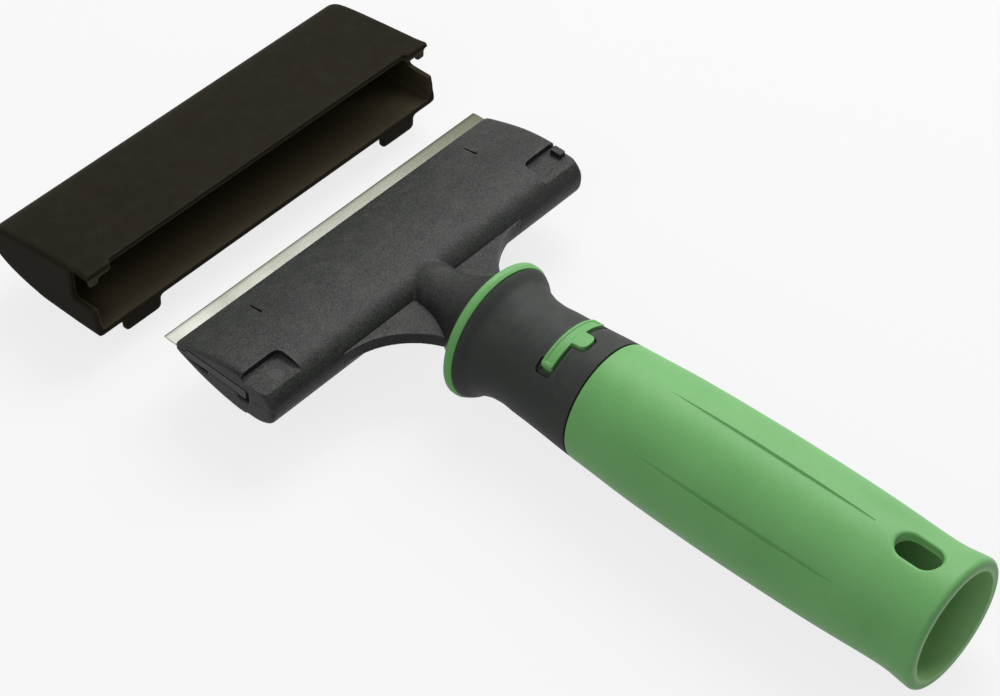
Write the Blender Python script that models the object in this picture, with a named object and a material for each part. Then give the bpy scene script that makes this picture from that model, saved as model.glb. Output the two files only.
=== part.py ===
"""Glass scraper with a 100 mm blade, its safety cap taken off.

The handle runs along Y, with the blade towards +Y and +Z up. The tool is drawn about the
handle's axis, with y = 0 at the front of the handle's green ring, and an empty then sets it
down: the origin is on the table, below the middle of the whole set.
"""
import math

import bmesh
import bpy
from mathutils import Matrix, Vector

MM = 0.001

# Fits shared by every piece
GAP = 0.3 * MM
OVERRUN = 2.0 * MM
ROUND_STEPS = 48
CORNER_STEPS = 4

# Blade: a plain steel strip with two round holes for the carrier's studs
BLADE_LENGTH = 100.0 * MM
BLADE_THICKNESS = 0.5 * MM
BLADE_SHOWS = 3.6 * MM
BLADE_BEVEL = 1.1 * MM
EDGE_THICKNESS = 0.08 * MM
STUD_SPACING = 64.0 * MM
STUD_R = 1.8 * MM
STUD_STEPS = 16
BLADE_CLEARANCE = 0.2 * MM

# Head: a lens-shaped box in two halves that meet on the blade's plane
HEAD_SIDE_ROOM = 0.5 * MM
HEAD_DEPTH = 30.4 * MM
HEAD_RISE = 5.6 * MM
HEAD_DROP = 6.6 * MM
HEAD_WALL = 1.7 * MM
HEAD_END_BEVEL = 0.35 * MM
NECK_LENGTH = 17.2 * MM
TOP_SHARES = [
    (0.0, 0.0), (0.008, 0.26), (0.03, 0.48), (0.06, 0.67), (0.105, 0.84), (0.16, 0.94),
    (0.25, 0.99), (0.34, 1.0), (0.43, 0.975), (0.53, 0.91), (0.645, 0.785), (0.765, 0.6),
    (0.885, 0.385), (0.975, 0.215), (1.0, 0.16),
]
BOTTOM_SHARES = [
    (0.0, 0.0), (0.006, 0.28), (0.02, 0.5), (0.045, 0.67), (0.095, 0.81), (0.17, 0.92),
    (0.27, 0.98), (0.34, 1.0), (0.49, 0.91), (0.61, 0.79), (0.73, 0.63), (0.845, 0.42),
    (0.93, 0.25), (0.985, 0.15), (1.0, 0.12),
]

# Corner pockets that the cap's hooks and rear lip drop into
POCKET_WIDTH = 11.0 * MM
POCKET_DEPTH = 9.4 * MM
POCKET_SINK = 1.6 * MM
POCKET_ROUND = 1.8 * MM
LOWER_POCKET_DEPTH = 9.0 * MM
LOWER_POCKET_SINK = 1.3 * MM

# Small marks and ribs on the head
MARK_LENGTH = 3.8 * MM
MARK_WIDTH = 0.5 * MM
MARK_SINK = 0.5 * MM
LEFT_MARK_END_ROOM = 17.9 * MM
RIGHT_MARK_END_ROOM = 13.5 * MM
MARK_SETBACK = 5.9 * MM
RIB_WIDTH = 2.0 * MM
RIB_DEPTH = 3.2 * MM
RIB_SETBACK = 0.9 * MM

# Hollow bays behind the outer skin, between cross ribs
BAY_COUNT = 6
BAY_RIB = 1.6 * MM
REAR_BAY_DEPTH = 4.2 * MM
REAR_BAY_SETBACK = 2.2 * MM

# Carrier strip and the channel it sits in
CARRIER_NOSE_ROOM = 4.0 * MM
CARRIER_THICKNESS = 2.2 * MM
CARRIER_SETBACK = 8.2 * MM
CARRIER_BACK = 5.2 * MM
CARRIER_CHAMFER = 0.4 * MM
HOOK_DEPTH = 2.7 * MM
HOOK_DROP = 1.4 * MM
HOOK_ROOM = 1.0 * MM
RELIEF_DEPTH = 5.5 * MM
RELIEF_SINK = 0.8 * MM
RELIEF_SETBACK = 11.2 * MM

# Screws from below, behind the channel
SCREW_HEAD_R = 2.1 * MM
SCREW_HEAD_HEIGHT = 1.5 * MM
SCREW_SHANK_R = 1.0 * MM
SCREW_LENGTH = 6.4 * MM
SCREW_RECESS = 1.1 * MM
SCREW_SETBACK = 4.2 * MM
SCREW_INNER_REACH = 16.0 * MM
SCREW_END_ROOM = 16.5 * MM
SCREW_STEPS = 12

# Neck, webs and spigot, in one moulding with the upper half of the head
NECK_R = 6.4 * MM
NECK_FLARE_R = 13.4 * MM
NECK_NOSE_R = 4.6 * MM
NECK_NOSE = 7.0 * MM
NECK_SHARES = [
    (1.0, 0.0), (0.9, 0.02), (0.77, 0.06), (0.59, 0.18), (0.43, 0.36), (0.28, 0.56),
    (0.16, 0.76), (0.06, 0.93), (0.0, 1.0),
]
WEB_THICKNESS = 3.3 * MM
WEB_ARC_R = 20.0 * MM
WEB_REACH = 28.8 * MM
WEB_STEPS = 12
WEB_ROOT = 1.9 * MM
WEB_START = 0.6 * MM
SPIGOT_R = 6.7 * MM
SPIGOT_BORE_R = 4.8 * MM
SPIGOT_NOSE = 9.8 * MM
SPIGOT_CORE_REACH = 13.0 * MM

# Handle outline, from the front of the green ring to the mouth of the pole socket
HANDLE_LENGTH = 123.2 * MM
RING_FACE_R = 15.9 * MM
RING_ROUND = 0.5 * MM
FLANGE_R = 16.56 * MM
FLANGE_CREST = 1.5 * MM
WAIST_R = 12.52 * MM
WAIST_REACH = 12.3 * MM
GRIP_R = 15.54 * MM
GRIP_REACH = 73.5 * MM
THROAT_R = 14.65 * MM
THROAT_SETBACK = 8.8 * MM
MOUTH_R = 15.49 * MM
MOUTH_ROUND = 1.4 * MM
FLANGE_SHARES = [(0.148, 0.22), (0.333, 0.626), (0.52, 0.82), (0.713, 0.953), (1.0, 1.0)]
SWELL_SHARES = [
    (0.05, 0.09), (0.116, 0.17), (0.2, 0.3), (0.3, 0.467), (0.433, 0.632), (0.6, 0.834),
    (0.8, 0.95), (1.0, 1.0),
]
TAPER_SHARES = [(0.3, 0.067), (0.55, 0.26), (0.748, 0.573), (0.9, 0.888), (1.0, 1.0)]
MOUTH_SHARES = [(0.25, 0.1), (0.494, 0.38), (0.75, 0.74)]

# Inside of the handle
RING_WIDTH = 2.3 * MM
COLLAR_LENGTH = 32.4 * MM
COLLAR_WALL = 1.6 * MM
SPIGOT_ROOM = 2.5 * MM
PARTITION = 5.0 * MM
SOCKET_MOUTH_R = 12.7 * MM
SOCKET_END_R = 11.2 * MM

# Grip details
GROOVE_COUNT = 6
GROOVE_START = 43.5 * MM
GROOVE_END_ROOM = 21.7 * MM
GROOVE_SINK = 0.7 * MM
GROOVE_WIDTH = 1.1 * MM
LOCK_HOLE_SETBACK = 10.9 * MM
LOCK_HOLE_LENGTH = 10.4 * MM
LOCK_HOLE_WIDTH = 6.5 * MM
LOCK_HOLE_STEPS = 8

# T-shaped release button and its window in the collar
BUTTON_REACH = 21.6 * MM
BUTTON_BAR_DEPTH = 3.2 * MM
BUTTON_BAR_WIDTH = 16.3 * MM
BUTTON_TAB_WIDTH = 4.4 * MM
BUTTON_TAB_DEPTH = 3.4 * MM
BUTTON_TAB_ROUND = 1.6 * MM
BUTTON_PROUD = 0.6 * MM
BUTTON_TRAVEL = 1.2 * MM
WINDOW_END_ROOM = 1.1 * MM
WINDOW_FRONT_ROOM = 0.6 * MM
WINDOW_DENT = 0.8 * MM
STEM_WIDTH = 3.8 * MM
STEM_DEPTH = 2.6 * MM
BUTTON_FLOOR = 8.2 * MM

# Catch finger in the spigot, below the button
FINGER_WIDTH = 5.0 * MM
FINGER_THICKNESS = 1.3 * MM
FINGER_RISE = 6.2 * MM
FINGER_SPAN = 10.4 * MM
FINGER_TAIL = 4.4 * MM
FINGER_PIVOT_SETBACK = 0.8 * MM
NUB_WIDTH = 3.6 * MM
NUB_DEPTH = 2.4 * MM

# Blade cap: a wedge-shaped sheath, open at the rear
CAP_SIDE_ROOM = 2.7 * MM
CAP_NOSE_ROOM = 2.0 * MM
CAP_RISE = 8.7 * MM
CAP_DROP = 9.0 * MM
CAP_WALL = 1.5 * MM
CAP_SEAT = 0.5 * MM
CAP_TOP_SETBACK = 2.3 * MM
CAP_TRAVEL = 50.0 * MM
CAP_END_BEVEL = 1.2 * MM
CAP_TOP_SHARES = [
    (0.0, 1.0), (0.33, 0.84), (0.55, 0.73), (0.76, 0.61), (0.89, 0.49), (0.96, 0.31), (1.0, 0.07),
]
CAP_BOTTOM_SHARES = [
    (1.0, 0.07), (0.97, 0.33), (0.9, 0.57), (0.78, 0.78), (0.64, 0.92), (0.5, 1.0), (0.25, 1.0), (0.0, 0.97),
]
TONGUE_SLOT_LENGTH = 8.0 * MM
TONGUE_SLOT_HEIGHT = 8.4 * MM
TONGUE_WIDTH = 6.0 * MM
TONGUE_REACH = 1.1 * MM
TONGUE_HOOK_DROP = 1.25 * MM
TONGUE_HOOK_DEPTH = 1.6 * MM
TONGUE_TIP_DROP = 2.7 * MM
TONGUE_TIP_ROOM = 0.6 * MM
LUG_WIDTH = 11.0 * MM
LUG_END_ROOM = 7.6 * MM
LUG_DROP = 3.4 * MM
LUG_THICKNESS = 1.6 * MM
LUG_ROUND = 1.2 * MM

# Places that follow from the sizes above
HEAD_LENGTH = BLADE_LENGTH + 2 * HEAD_SIDE_ROOM
CARRIER_DEPTH = HEAD_DEPTH - CARRIER_SETBACK - CARRIER_NOSE_ROOM
CARRIER_GRIP = CARRIER_DEPTH - CARRIER_BACK
BLADE_WIDTH = BLADE_SHOWS + CARRIER_NOSE_ROOM + CARRIER_GRIP - BLADE_CLEARANCE
CAP_DEPTH = HEAD_DEPTH + BLADE_SHOWS + CAP_NOSE_ROOM
CAP_LENGTH = HEAD_LENGTH + 2 * (CAP_SIDE_ROOM + CAP_WALL)
BAY_SPAN = HEAD_LENGTH - 2 * (POCKET_WIDTH + HEAD_WALL)
SCREW_REACH = (SCREW_INNER_REACH, HEAD_LENGTH / 2 - SCREW_END_ROOM)
HEAD_REAR_Y = NECK_LENGTH
HEAD_FRONT_Y = HEAD_REAR_Y + HEAD_DEPTH
BLADE_EDGE_Y = HEAD_FRONT_Y + BLADE_SHOWS
BLADE_BACK_Y = BLADE_EDGE_Y - BLADE_WIDTH
CARRIER_REAR_Y = HEAD_REAR_Y + CARRIER_SETBACK
CARRIER_FRONT_Y = CARRIER_REAR_Y + CARRIER_DEPTH
LIP_Z = BLADE_THICKNESS / 2 + BLADE_CLEARANCE
SEAM_Z = GAP / 2
BUTTON_Y = -BUTTON_REACH - BUTTON_BAR_DEPTH / 2
FINGER_FRONT_Y = BUTTON_Y + FINGER_SPAN
FINGER_REAR_Y = BUTTON_Y - FINGER_TAIL
SPIGOT_REAR_Y = BUTTON_Y - SPIGOT_NOSE
BORE_END_Y = SPIGOT_REAR_Y - SPIGOT_ROOM
SOCKET_END_Y = BORE_END_Y - PARTITION
FLOOR_Z = -FLANGE_R * math.cos(math.pi / ROUND_STEPS)
CAP_SEATED_REAR_Y = HEAD_REAR_Y + CAP_SEAT
CAP_REAR_Y = CAP_SEATED_REAR_Y + CAP_TRAVEL
CAP_NOSE_Y = CAP_REAR_Y + CAP_DEPTH
MIDDLE_Y = (CAP_NOSE_Y - HANDLE_LENGTH) / 2

# Colours as linear RGB, with roughness and metallic values
MATERIALS = {
    "green_plastic": ((0.135, 0.31, 0.125), 0.42, 0.0),
    "black_rubber": ((0.036, 0.038, 0.036), 0.72, 0.0),
    "black_plastic": ((0.042, 0.046, 0.045), 0.55, 0.0),
    "grey_plastic": ((0.075, 0.08, 0.078), 0.5, 0.0),
    "cap_plastic": ((0.026, 0.023, 0.017), 0.6, 0.0),
    "blade_steel": ((0.55, 0.56, 0.5), 0.32, 1.0),
    "screw_steel": ((0.3, 0.3, 0.3), 0.4, 1.0),
}


def clear_scene():
    for item in list(bpy.data.objects):
        bpy.data.objects.remove(item, do_unlink=True)


def material(name):
    """The named Principled material, made the first time it is asked for."""
    made = bpy.data.materials.get(name)
    if made is None:
        colour, roughness, metallic = MATERIALS[name]
        made = bpy.data.materials.new(name)
        made.use_nodes = True
        shader = made.node_tree.nodes["Principled BSDF"]
        shader.inputs["Base Color"].default_value = (*colour, 1.0)
        shader.inputs["Roughness"].default_value = roughness
        shader.inputs["Metallic"].default_value = metallic
    return made


def place(name, bm, parent, origin=(0.0, 0.0, 0.0), finish=None, smooth=False):
    """Turn a bmesh drawn about the handle's axis into an object with its own origin."""
    bmesh.ops.recalc_face_normals(bm, faces=bm.faces)
    bmesh.ops.translate(bm, vec=-Vector(origin), verts=bm.verts)
    mesh = bpy.data.meshes.new(name)
    bm.to_mesh(mesh)
    bm.free()
    if smooth:
        mesh.shade_smooth()
        mesh.set_sharp_from_angle(angle=math.radians(30))
    item = bpy.data.objects.new(name, mesh)
    bpy.context.scene.collection.objects.link(item)
    item.parent = parent
    item.location = origin
    if finish:
        mesh.materials.append(material(finish))
    return item


def combine(target, tool, operation):
    """Join, cut or keep the common part of two solids; the tool is only a guide."""
    tool.hide_render = True
    tool.display_type = "WIRE"
    modifier = target.modifiers.new(tool.name, "BOOLEAN")
    modifier.operation = operation
    modifier.solver = "EXACT"
    modifier.object = tool


def loft(bm, sections):
    """Bridge closed loops of points one after another and close both ends."""
    rings = [[bm.verts.new(point) for point in section] for section in sections]
    for low, high in zip(rings, rings[1:]):
        for i in range(len(low)):
            j = (i + 1) % len(low)
            bm.faces.new((low[i], low[j], high[j], high[i]))
    bm.faces.new(rings[0])
    bm.faces.new(rings[-1])
    return bm


def along_x(outline, low, high, end_outline=None, bevel=0.0):
    """A bar along X with a (y, z) section, and a smaller section at each end if it is given."""
    steps = [(low, outline), (high, outline)]
    if end_outline:
        steps = [(low, end_outline), (low + bevel, outline), (high - bevel, outline), (high, end_outline)]
    return loft(bmesh.new(), [[(x, y, z) for y, z in section] for x, section in steps])


def along_z(outline, low, high):
    """A block along Z whose plan is an (x, y) outline."""
    return loft(bmesh.new(), [[(x, y, z) for x, y in outline] for z in (low, high)])


def box(low, high):
    plan = [(low[0], low[1]), (high[0], low[1]), (high[0], high[1]), (low[0], high[1])]
    return along_z(plan, low[2], high[2])


def turned(profile, steps=ROUND_STEPS):
    """A solid of revolution about Y from (y, r) points; a point at r = 0 closes an end."""
    bm = bmesh.new()
    rings = []
    for y, r in profile:
        if r == 0:
            rings.append([bm.verts.new((0.0, y, 0.0))])
            continue
        angles = [math.tau * (i + 0.5) / steps for i in range(steps)]
        rings.append([bm.verts.new((r * math.sin(a), y, r * math.cos(a))) for a in angles])
    closed = len(rings[0]) > 1
    pairs = list(zip(rings, rings[1:])) + ([(rings[-1], rings[0])] if closed else [])
    for low, high in pairs:
        for i in range(steps):
            j = (i + 1) % steps
            if len(low) == 1:
                bm.faces.new((low[0], high[j], high[i]))
            elif len(high) == 1:
                bm.faces.new((low[i], low[j], high[0]))
            else:
                bm.faces.new((low[i], low[j], high[j], high[i]))
    return bm


def rounded(corner, inward, radius, start):
    """Points of a quarter round at a corner, turning clockwise from the start angle."""
    centre = (corner[0] + inward[0] * radius, corner[1] + inward[1] * radius)
    turns = [start - math.pi / 2 * i / CORNER_STEPS for i in range(CORNER_STEPS + 1)]
    return [(centre[0] + radius * math.cos(a), centre[1] + radius * math.sin(a)) for a in turns]


def peg(centre, radius, low, high, steps):
    """A round peg along Z."""
    turns = [math.tau * i / steps for i in range(steps)]
    plan = [(centre[0] + radius * math.cos(a), centre[1] + radius * math.sin(a)) for a in turns]
    return along_z(plan, low, high)


def stretch(start, end, shares):
    """Points after start, on the way to end, from shares of the way along and of the change."""
    return [
        (start[0] + (end[0] - start[0]) * along, start[1] + (end[1] - start[1]) * out)
        for along, out in shares
    ]


def handle_outline():
    """Outer outline of the whole handle as (y, r), from the ring back to the mouth."""
    crest = (-FLANGE_CREST, FLANGE_R)
    waist = (-WAIST_REACH, WAIST_R)
    belly = (-GRIP_REACH, GRIP_R)
    throat = (THROAT_SETBACK - HANDLE_LENGTH, THROAT_R)
    mouth = (-HANDLE_LENGTH, MOUTH_R)
    outline = [(0.0, RING_FACE_R), (-RING_ROUND, FLANGE_R), crest]
    outline += stretch(crest, waist, FLANGE_SHARES)
    outline += stretch(waist, belly, SWELL_SHARES)
    outline += stretch(belly, throat, TAPER_SHARES)
    outline += stretch(throat, mouth, MOUTH_SHARES)
    return outline + rounded(mouth, (1.0, -1.0), MOUTH_ROUND, math.pi)[::-1]


def outer_r(y):
    """Radius of the handle's outline at y."""
    outline = handle_outline()
    for (y0, r0), (y1, r1) in zip(outline, outline[1:]):
        if y1 <= y <= y0:
            return r0 + (r1 - r0) * (y0 - y) / (y0 - y1)
    return outline[-1][1]


def outline_between(front, rear, inward=0.0):
    """The handle's outline from one y back to another, moved inwards."""
    ys = [front] + [y for y, r in handle_outline() if rear < y < front] + [rear]
    return [(y, outer_r(y) - inward) for y in ys]


def head_curve(side, inward=0.0):
    """Outer curve of the head above (side 1) or below (side -1) its seam, rear to nose."""
    shares = TOP_SHARES if side > 0 else BOTTOM_SHARES
    reach = (HEAD_RISE if side > 0 else HEAD_DROP) - inward
    rear = HEAD_REAR_Y + inward
    depth = HEAD_DEPTH - 2 * inward
    return [(rear + depth * along, side * reach * out) for along, out in shares]


def head_height(side, y):
    """Height of the head's outer curve at y."""
    curve = head_curve(side)
    for (y0, z0), (y1, z1) in zip(curve, curve[1:]):
        if y0 <= y <= y1:
            return z0 + (z1 - z0) * (y - y0) / (y1 - y0)
    return curve[-1][1]


def shell_half(side, inward=0.0):
    """Section of one half of the head: outer curve, lip, carrier channel, seam."""
    roof = CARRIER_THICKNESS / 2 + GAP
    channel_front = CARRIER_FRONT_Y + GAP
    channel_rear = CARRIER_REAR_Y - GAP
    outline = head_curve(side, inward)[1:]
    outline += [
        (HEAD_FRONT_Y - inward, side * LIP_Z),
        (channel_front, side * LIP_Z),
        (channel_front, side * roof),
    ]
    if side < 0:
        outline += relief_points(roof)
    else:
        outline += [(channel_rear, roof)]
    outline += [(channel_rear, side * SEAM_Z), (HEAD_REAR_Y + inward, side * SEAM_Z)]
    return outline


def shell(side):
    """One half of the head as a bar along X, a little smaller at its very ends."""
    half = HEAD_LENGTH / 2
    ends = shell_half(side, HEAD_END_BEVEL)
    return along_x(shell_half(side), -half, half, ends, HEAD_END_BEVEL)


def relief_points(roof):
    """Floor of the lower channel: a long relief, then the room for the carrier's hook."""
    front = HEAD_REAR_Y + HEAD_DEPTH - RELIEF_SETBACK + RELIEF_DEPTH
    rear = front - RELIEF_DEPTH
    hook_floor = CARRIER_THICKNESS / 2 + HOOK_DROP + HOOK_ROOM
    hook_front = CARRIER_REAR_Y + HOOK_DEPTH + GAP
    return [
        (front, -roof), (front, -roof - RELIEF_SINK), (rear, -roof - RELIEF_SINK), (rear, -roof),
        (hook_front, -roof), (hook_front, -hook_floor), (CARRIER_REAR_Y - GAP, -hook_floor),
    ]


def bay_cutters(name, side, parent):
    """Hollow bays between cross ribs, open towards the channel, one skin wall deep."""
    front = HEAD_FRONT_Y - RELIEF_SETBACK
    rear = CARRIER_REAR_Y + HOOK_DEPTH + GAP + HEAD_WALL
    samples = [rear + (front - rear) * i / BAY_COUNT for i in range(BAY_COUNT + 1)]
    roof = [(y, head_height(side, y) - side * HEAD_WALL) for y in samples]
    section = [(front, 0.0), (rear, 0.0)] + roof
    pitch = BAY_SPAN / BAY_COUNT
    for i in range(BAY_COUNT):
        low = -BAY_SPAN / 2 + pitch * i + BAY_RIB / 2
        yield place(f"{name}_bay_{i}", along_x(section, low, low + pitch - BAY_RIB), parent)


def web_plan():
    """Plan of both webs: concave arcs that run from the head's rear face to the neck."""
    centre_y = HEAD_REAR_Y - WEB_ARC_R
    last = math.asin(min(1.0, (WEB_START - centre_y) / WEB_ARC_R))
    first = math.pi / 2
    turns = [first + (last - first) * i / WEB_STEPS for i in range(WEB_STEPS + 1)]
    right = [
        (WEB_REACH - WEB_ARC_R * math.cos(a), centre_y + WEB_ARC_R * math.sin(a)) for a in turns
    ]
    right.insert(0, (WEB_REACH, HEAD_REAR_Y + WEB_ROOT))
    left = [(-x, y) for x, y in reversed(right)]
    return right + left


def neck_profile(extra=0.0):
    """Neck from its nose inside the head back to the flare at the handle."""
    nose_y = HEAD_REAR_Y + NECK_NOSE
    flare = (GAP, NECK_FLARE_R)
    slim = (HEAD_REAR_Y, NECK_R)
    profile = [(nose_y + extra, 0.0), (nose_y + extra, NECK_NOSE_R + extra)]
    for along, out in NECK_SHARES:
        y = flare[0] + (slim[0] - flare[0]) * along
        profile.append((y, NECK_R + (NECK_FLARE_R - NECK_R) * out + extra))
    return profile


def make_blade(parent):
    """Steel strip, ground from both sides to a thin edge, with two stud holes."""
    half = BLADE_THICKNESS / 2
    thin = EDGE_THICKNESS / 2
    section = [
        (BLADE_BACK_Y, half), (BLADE_EDGE_Y - BLADE_BEVEL, half), (BLADE_EDGE_Y, thin),
        (BLADE_EDGE_Y, -thin), (BLADE_EDGE_Y - BLADE_BEVEL, -half), (BLADE_BACK_Y, -half),
    ]
    bm = along_x(section, -BLADE_LENGTH / 2, BLADE_LENGTH / 2)
    blade = place("blade", bm, parent, finish="blade_steel")
    for i, x in enumerate((-STUD_SPACING / 2, STUD_SPACING / 2)):
        hole = peg((x, stud_y()), STUD_R + BLADE_CLEARANCE, -OVERRUN, OVERRUN, STUD_STEPS)
        combine(blade, place(f"blade_hole_{i}", hole, parent), "DIFFERENCE")


def stud_y():
    """The studs stand halfway along the part of the blade that the carrier grips."""
    return CARRIER_FRONT_Y - CARRIER_GRIP / 2


def make_carrier(parent):
    """Strip with a slot for the blade's back, thin closed ends, a hooked rear edge and two studs."""
    half = CARRIER_THICKNESS / 2
    slot = LIP_Z
    slot_rear = BLADE_BACK_Y - BLADE_CLEARANCE
    cut = CARRIER_CHAMFER
    rear = CARRIER_REAR_Y
    front = CARRIER_FRONT_Y
    hook_front = rear + HOOK_DEPTH
    section = [
        (rear + cut, half), (front - cut, half), (front, half - cut), (front, slot),
        (slot_rear, slot), (slot_rear, -slot), (front, -slot), (front, cut - half),
        (front - cut, -half), (hook_front, -half), (hook_front, cut - half - HOOK_DROP),
        (hook_front - cut, -half - HOOK_DROP), (rear + cut, -half - HOOK_DROP),
        (rear, cut - half - HOOK_DROP), (rear, half - cut),
    ]
    end = HEAD_LENGTH / 2
    carrier = place("blade_carrier", along_x(section, -end, end), parent, finish="grey_plastic")
    slot_end = BLADE_LENGTH / 2 + BLADE_CLEARANCE
    reach = (slot + half) / 2
    for name, low, high in (("left", -end, -slot_end), ("right", slot_end, end)):
        wall = box((low, rear + cut, -reach), (high, front, reach))
        combine(carrier, place(f"carrier_end_{name}", wall, parent), "UNION")
    for i, x in enumerate((-STUD_SPACING / 2, STUD_SPACING / 2)):
        stud = peg((x, stud_y()), STUD_R, -reach, reach, STUD_STEPS)
        combine(carrier, place(f"carrier_stud_{i}", stud, parent), "UNION")


def pocket_cutters(parent):
    """Corner pockets of both halves, open to the rear and to the ends."""
    outer = HEAD_LENGTH / 2 + OVERRUN
    inner = HEAD_LENGTH / 2 - POCKET_WIDTH
    top = HEAD_RISE - POCKET_SINK
    bottom = -HEAD_DROP + LOWER_POCKET_SINK
    rear = HEAD_REAR_Y - OVERRUN
    cutters = []
    front = HEAD_REAR_Y + POCKET_DEPTH
    for name, sign in (("left", -1.0), ("right", 1.0)):
        low, high = sorted((sign * inner, sign * outer))
        corner = rounded((inner, front), (1.0, -1.0), POCKET_ROUND, math.pi)
        plan = [(sign * x, y) for x, y in [(inner, rear)] + corner + [(outer, front), (outer, rear)]]
        upper = along_z(plan, top, HEAD_RISE + OVERRUN)
        lower = box((low, rear, -HEAD_DROP - OVERRUN), (high, HEAD_REAR_Y + LOWER_POCKET_DEPTH, bottom))
        cutters.append((place(f"pocket_top_{name}", upper, parent), place(f"pocket_bottom_{name}", lower, parent)))
    return cutters


def screw_places():
    y = HEAD_REAR_Y + SCREW_SETBACK
    return [(sign * reach, y) for reach in SCREW_REACH for sign in (-1.0, 1.0)]


def screw_seat_z():
    """Height of the face that the screw heads pull against."""
    return head_height(-1.0, HEAD_REAR_Y + SCREW_SETBACK) + SCREW_RECESS + SCREW_HEAD_HEIGHT


def make_screws(parent):
    """Four self-tapping screws: a round head below and a shank up into the upper half."""
    seat = screw_seat_z() - GAP
    steps = [
        (SCREW_HEAD_R, -SCREW_HEAD_HEIGHT), (SCREW_HEAD_R, 0.0),
        (SCREW_SHANK_R, 0.0), (SCREW_SHANK_R, SCREW_LENGTH),
    ]
    turns = [math.tau * i / SCREW_STEPS for i in range(SCREW_STEPS)]
    for i, (x, y) in enumerate(screw_places()):
        rings = [[(r * math.cos(a), r * math.sin(a), z) for a in turns] for r, z in steps]
        screw = place(f"base_screw_{i + 1}", loft(bmesh.new(), rings), parent, finish="screw_steel")
        screw.data.shade_smooth()
        screw.data.set_sharp_from_angle(angle=math.radians(30))
        screw.location = (x, y, seat)


def screw_cutters(name, parent):
    """Clearance for head and shank of each screw."""
    seat = screw_seat_z()
    for i, centre in enumerate(screw_places()):
        head = peg(centre, SCREW_HEAD_R + GAP, -HEAD_DROP - OVERRUN, seat, SCREW_STEPS)
        shank = peg(centre, SCREW_SHANK_R + GAP, seat - GAP, seat + SCREW_LENGTH, SCREW_STEPS)
        yield place(f"{name}_head_{i}", head, parent)
        yield place(f"{name}_shank_{i}", shank, parent)


def rear_bay_cutters(name, side, parent):
    """Pockets in the thick rear bar, between the screws and beside the neck."""
    low_y = HEAD_REAR_Y + REAR_BAY_SETBACK
    high_y = low_y + REAR_BAY_DEPTH
    roof = min(abs(head_height(side, low_y)), abs(head_height(side, high_y))) - HEAD_WALL
    inner, outer = SCREW_REACH
    room = SCREW_HEAD_R + GAP + HEAD_WALL
    for i, sign in enumerate((-1.0, 1.0)):
        xs = sorted((sign * (inner + room), sign * (outer - room)))
        zs = sorted((0.0, side * roof))
        cutter = box((xs[0], low_y, zs[0]), (xs[1], high_y, zs[1]))
        yield place(f"{name}_rear_bay_{i}", cutter, parent)


def make_head_body(parent):
    """Upper half of the head with its webs, neck and hollow spigot."""
    body = place("head_body", shell(1.0), parent, finish="black_plastic", smooth=True)
    for cutter in bay_cutters("upper", 1.0, parent):
        combine(body, cutter, "DIFFERENCE")
    for cutter in rear_bay_cutters("upper", 1.0, parent):
        combine(body, cutter, "DIFFERENCE")
    for i, (sign, room) in enumerate(((-1.0, LEFT_MARK_END_ROOM), (1.0, RIGHT_MARK_END_ROOM))):
        y = HEAD_FRONT_Y - MARK_SETBACK
        x = sign * (HEAD_LENGTH / 2 - room)
        low_z = head_height(1.0, y) - MARK_SINK
        mark = box(
            (x - MARK_WIDTH / 2, y - MARK_LENGTH, low_z), (x + MARK_WIDTH / 2, y, HEAD_RISE + OVERRUN)
        )
        combine(body, place(f"mark_{i}", mark, parent), "DIFFERENCE")
    web = along_z(web_plan(), -WEB_THICKNESS / 2, WEB_THICKNESS / 2)
    combine(body, place("web_plate", web, parent), "UNION")
    profile = neck_profile() + [(GAP, SPIGOT_R), (SPIGOT_REAR_Y, SPIGOT_R), (SPIGOT_REAR_Y, 0.0)]
    combine(body, place("neck_turning", turned(profile), parent, smooth=True), "UNION")
    hollow = [
        (SPIGOT_CORE_REACH, 0.0), (SPIGOT_CORE_REACH, SPIGOT_BORE_R),
        (SPIGOT_REAR_Y - OVERRUN, SPIGOT_BORE_R), (SPIGOT_REAR_Y - OVERRUN, 0.0),
    ]
    combine(body, place("spigot_hollow", turned(hollow), parent), "DIFFERENCE")
    return body


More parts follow.
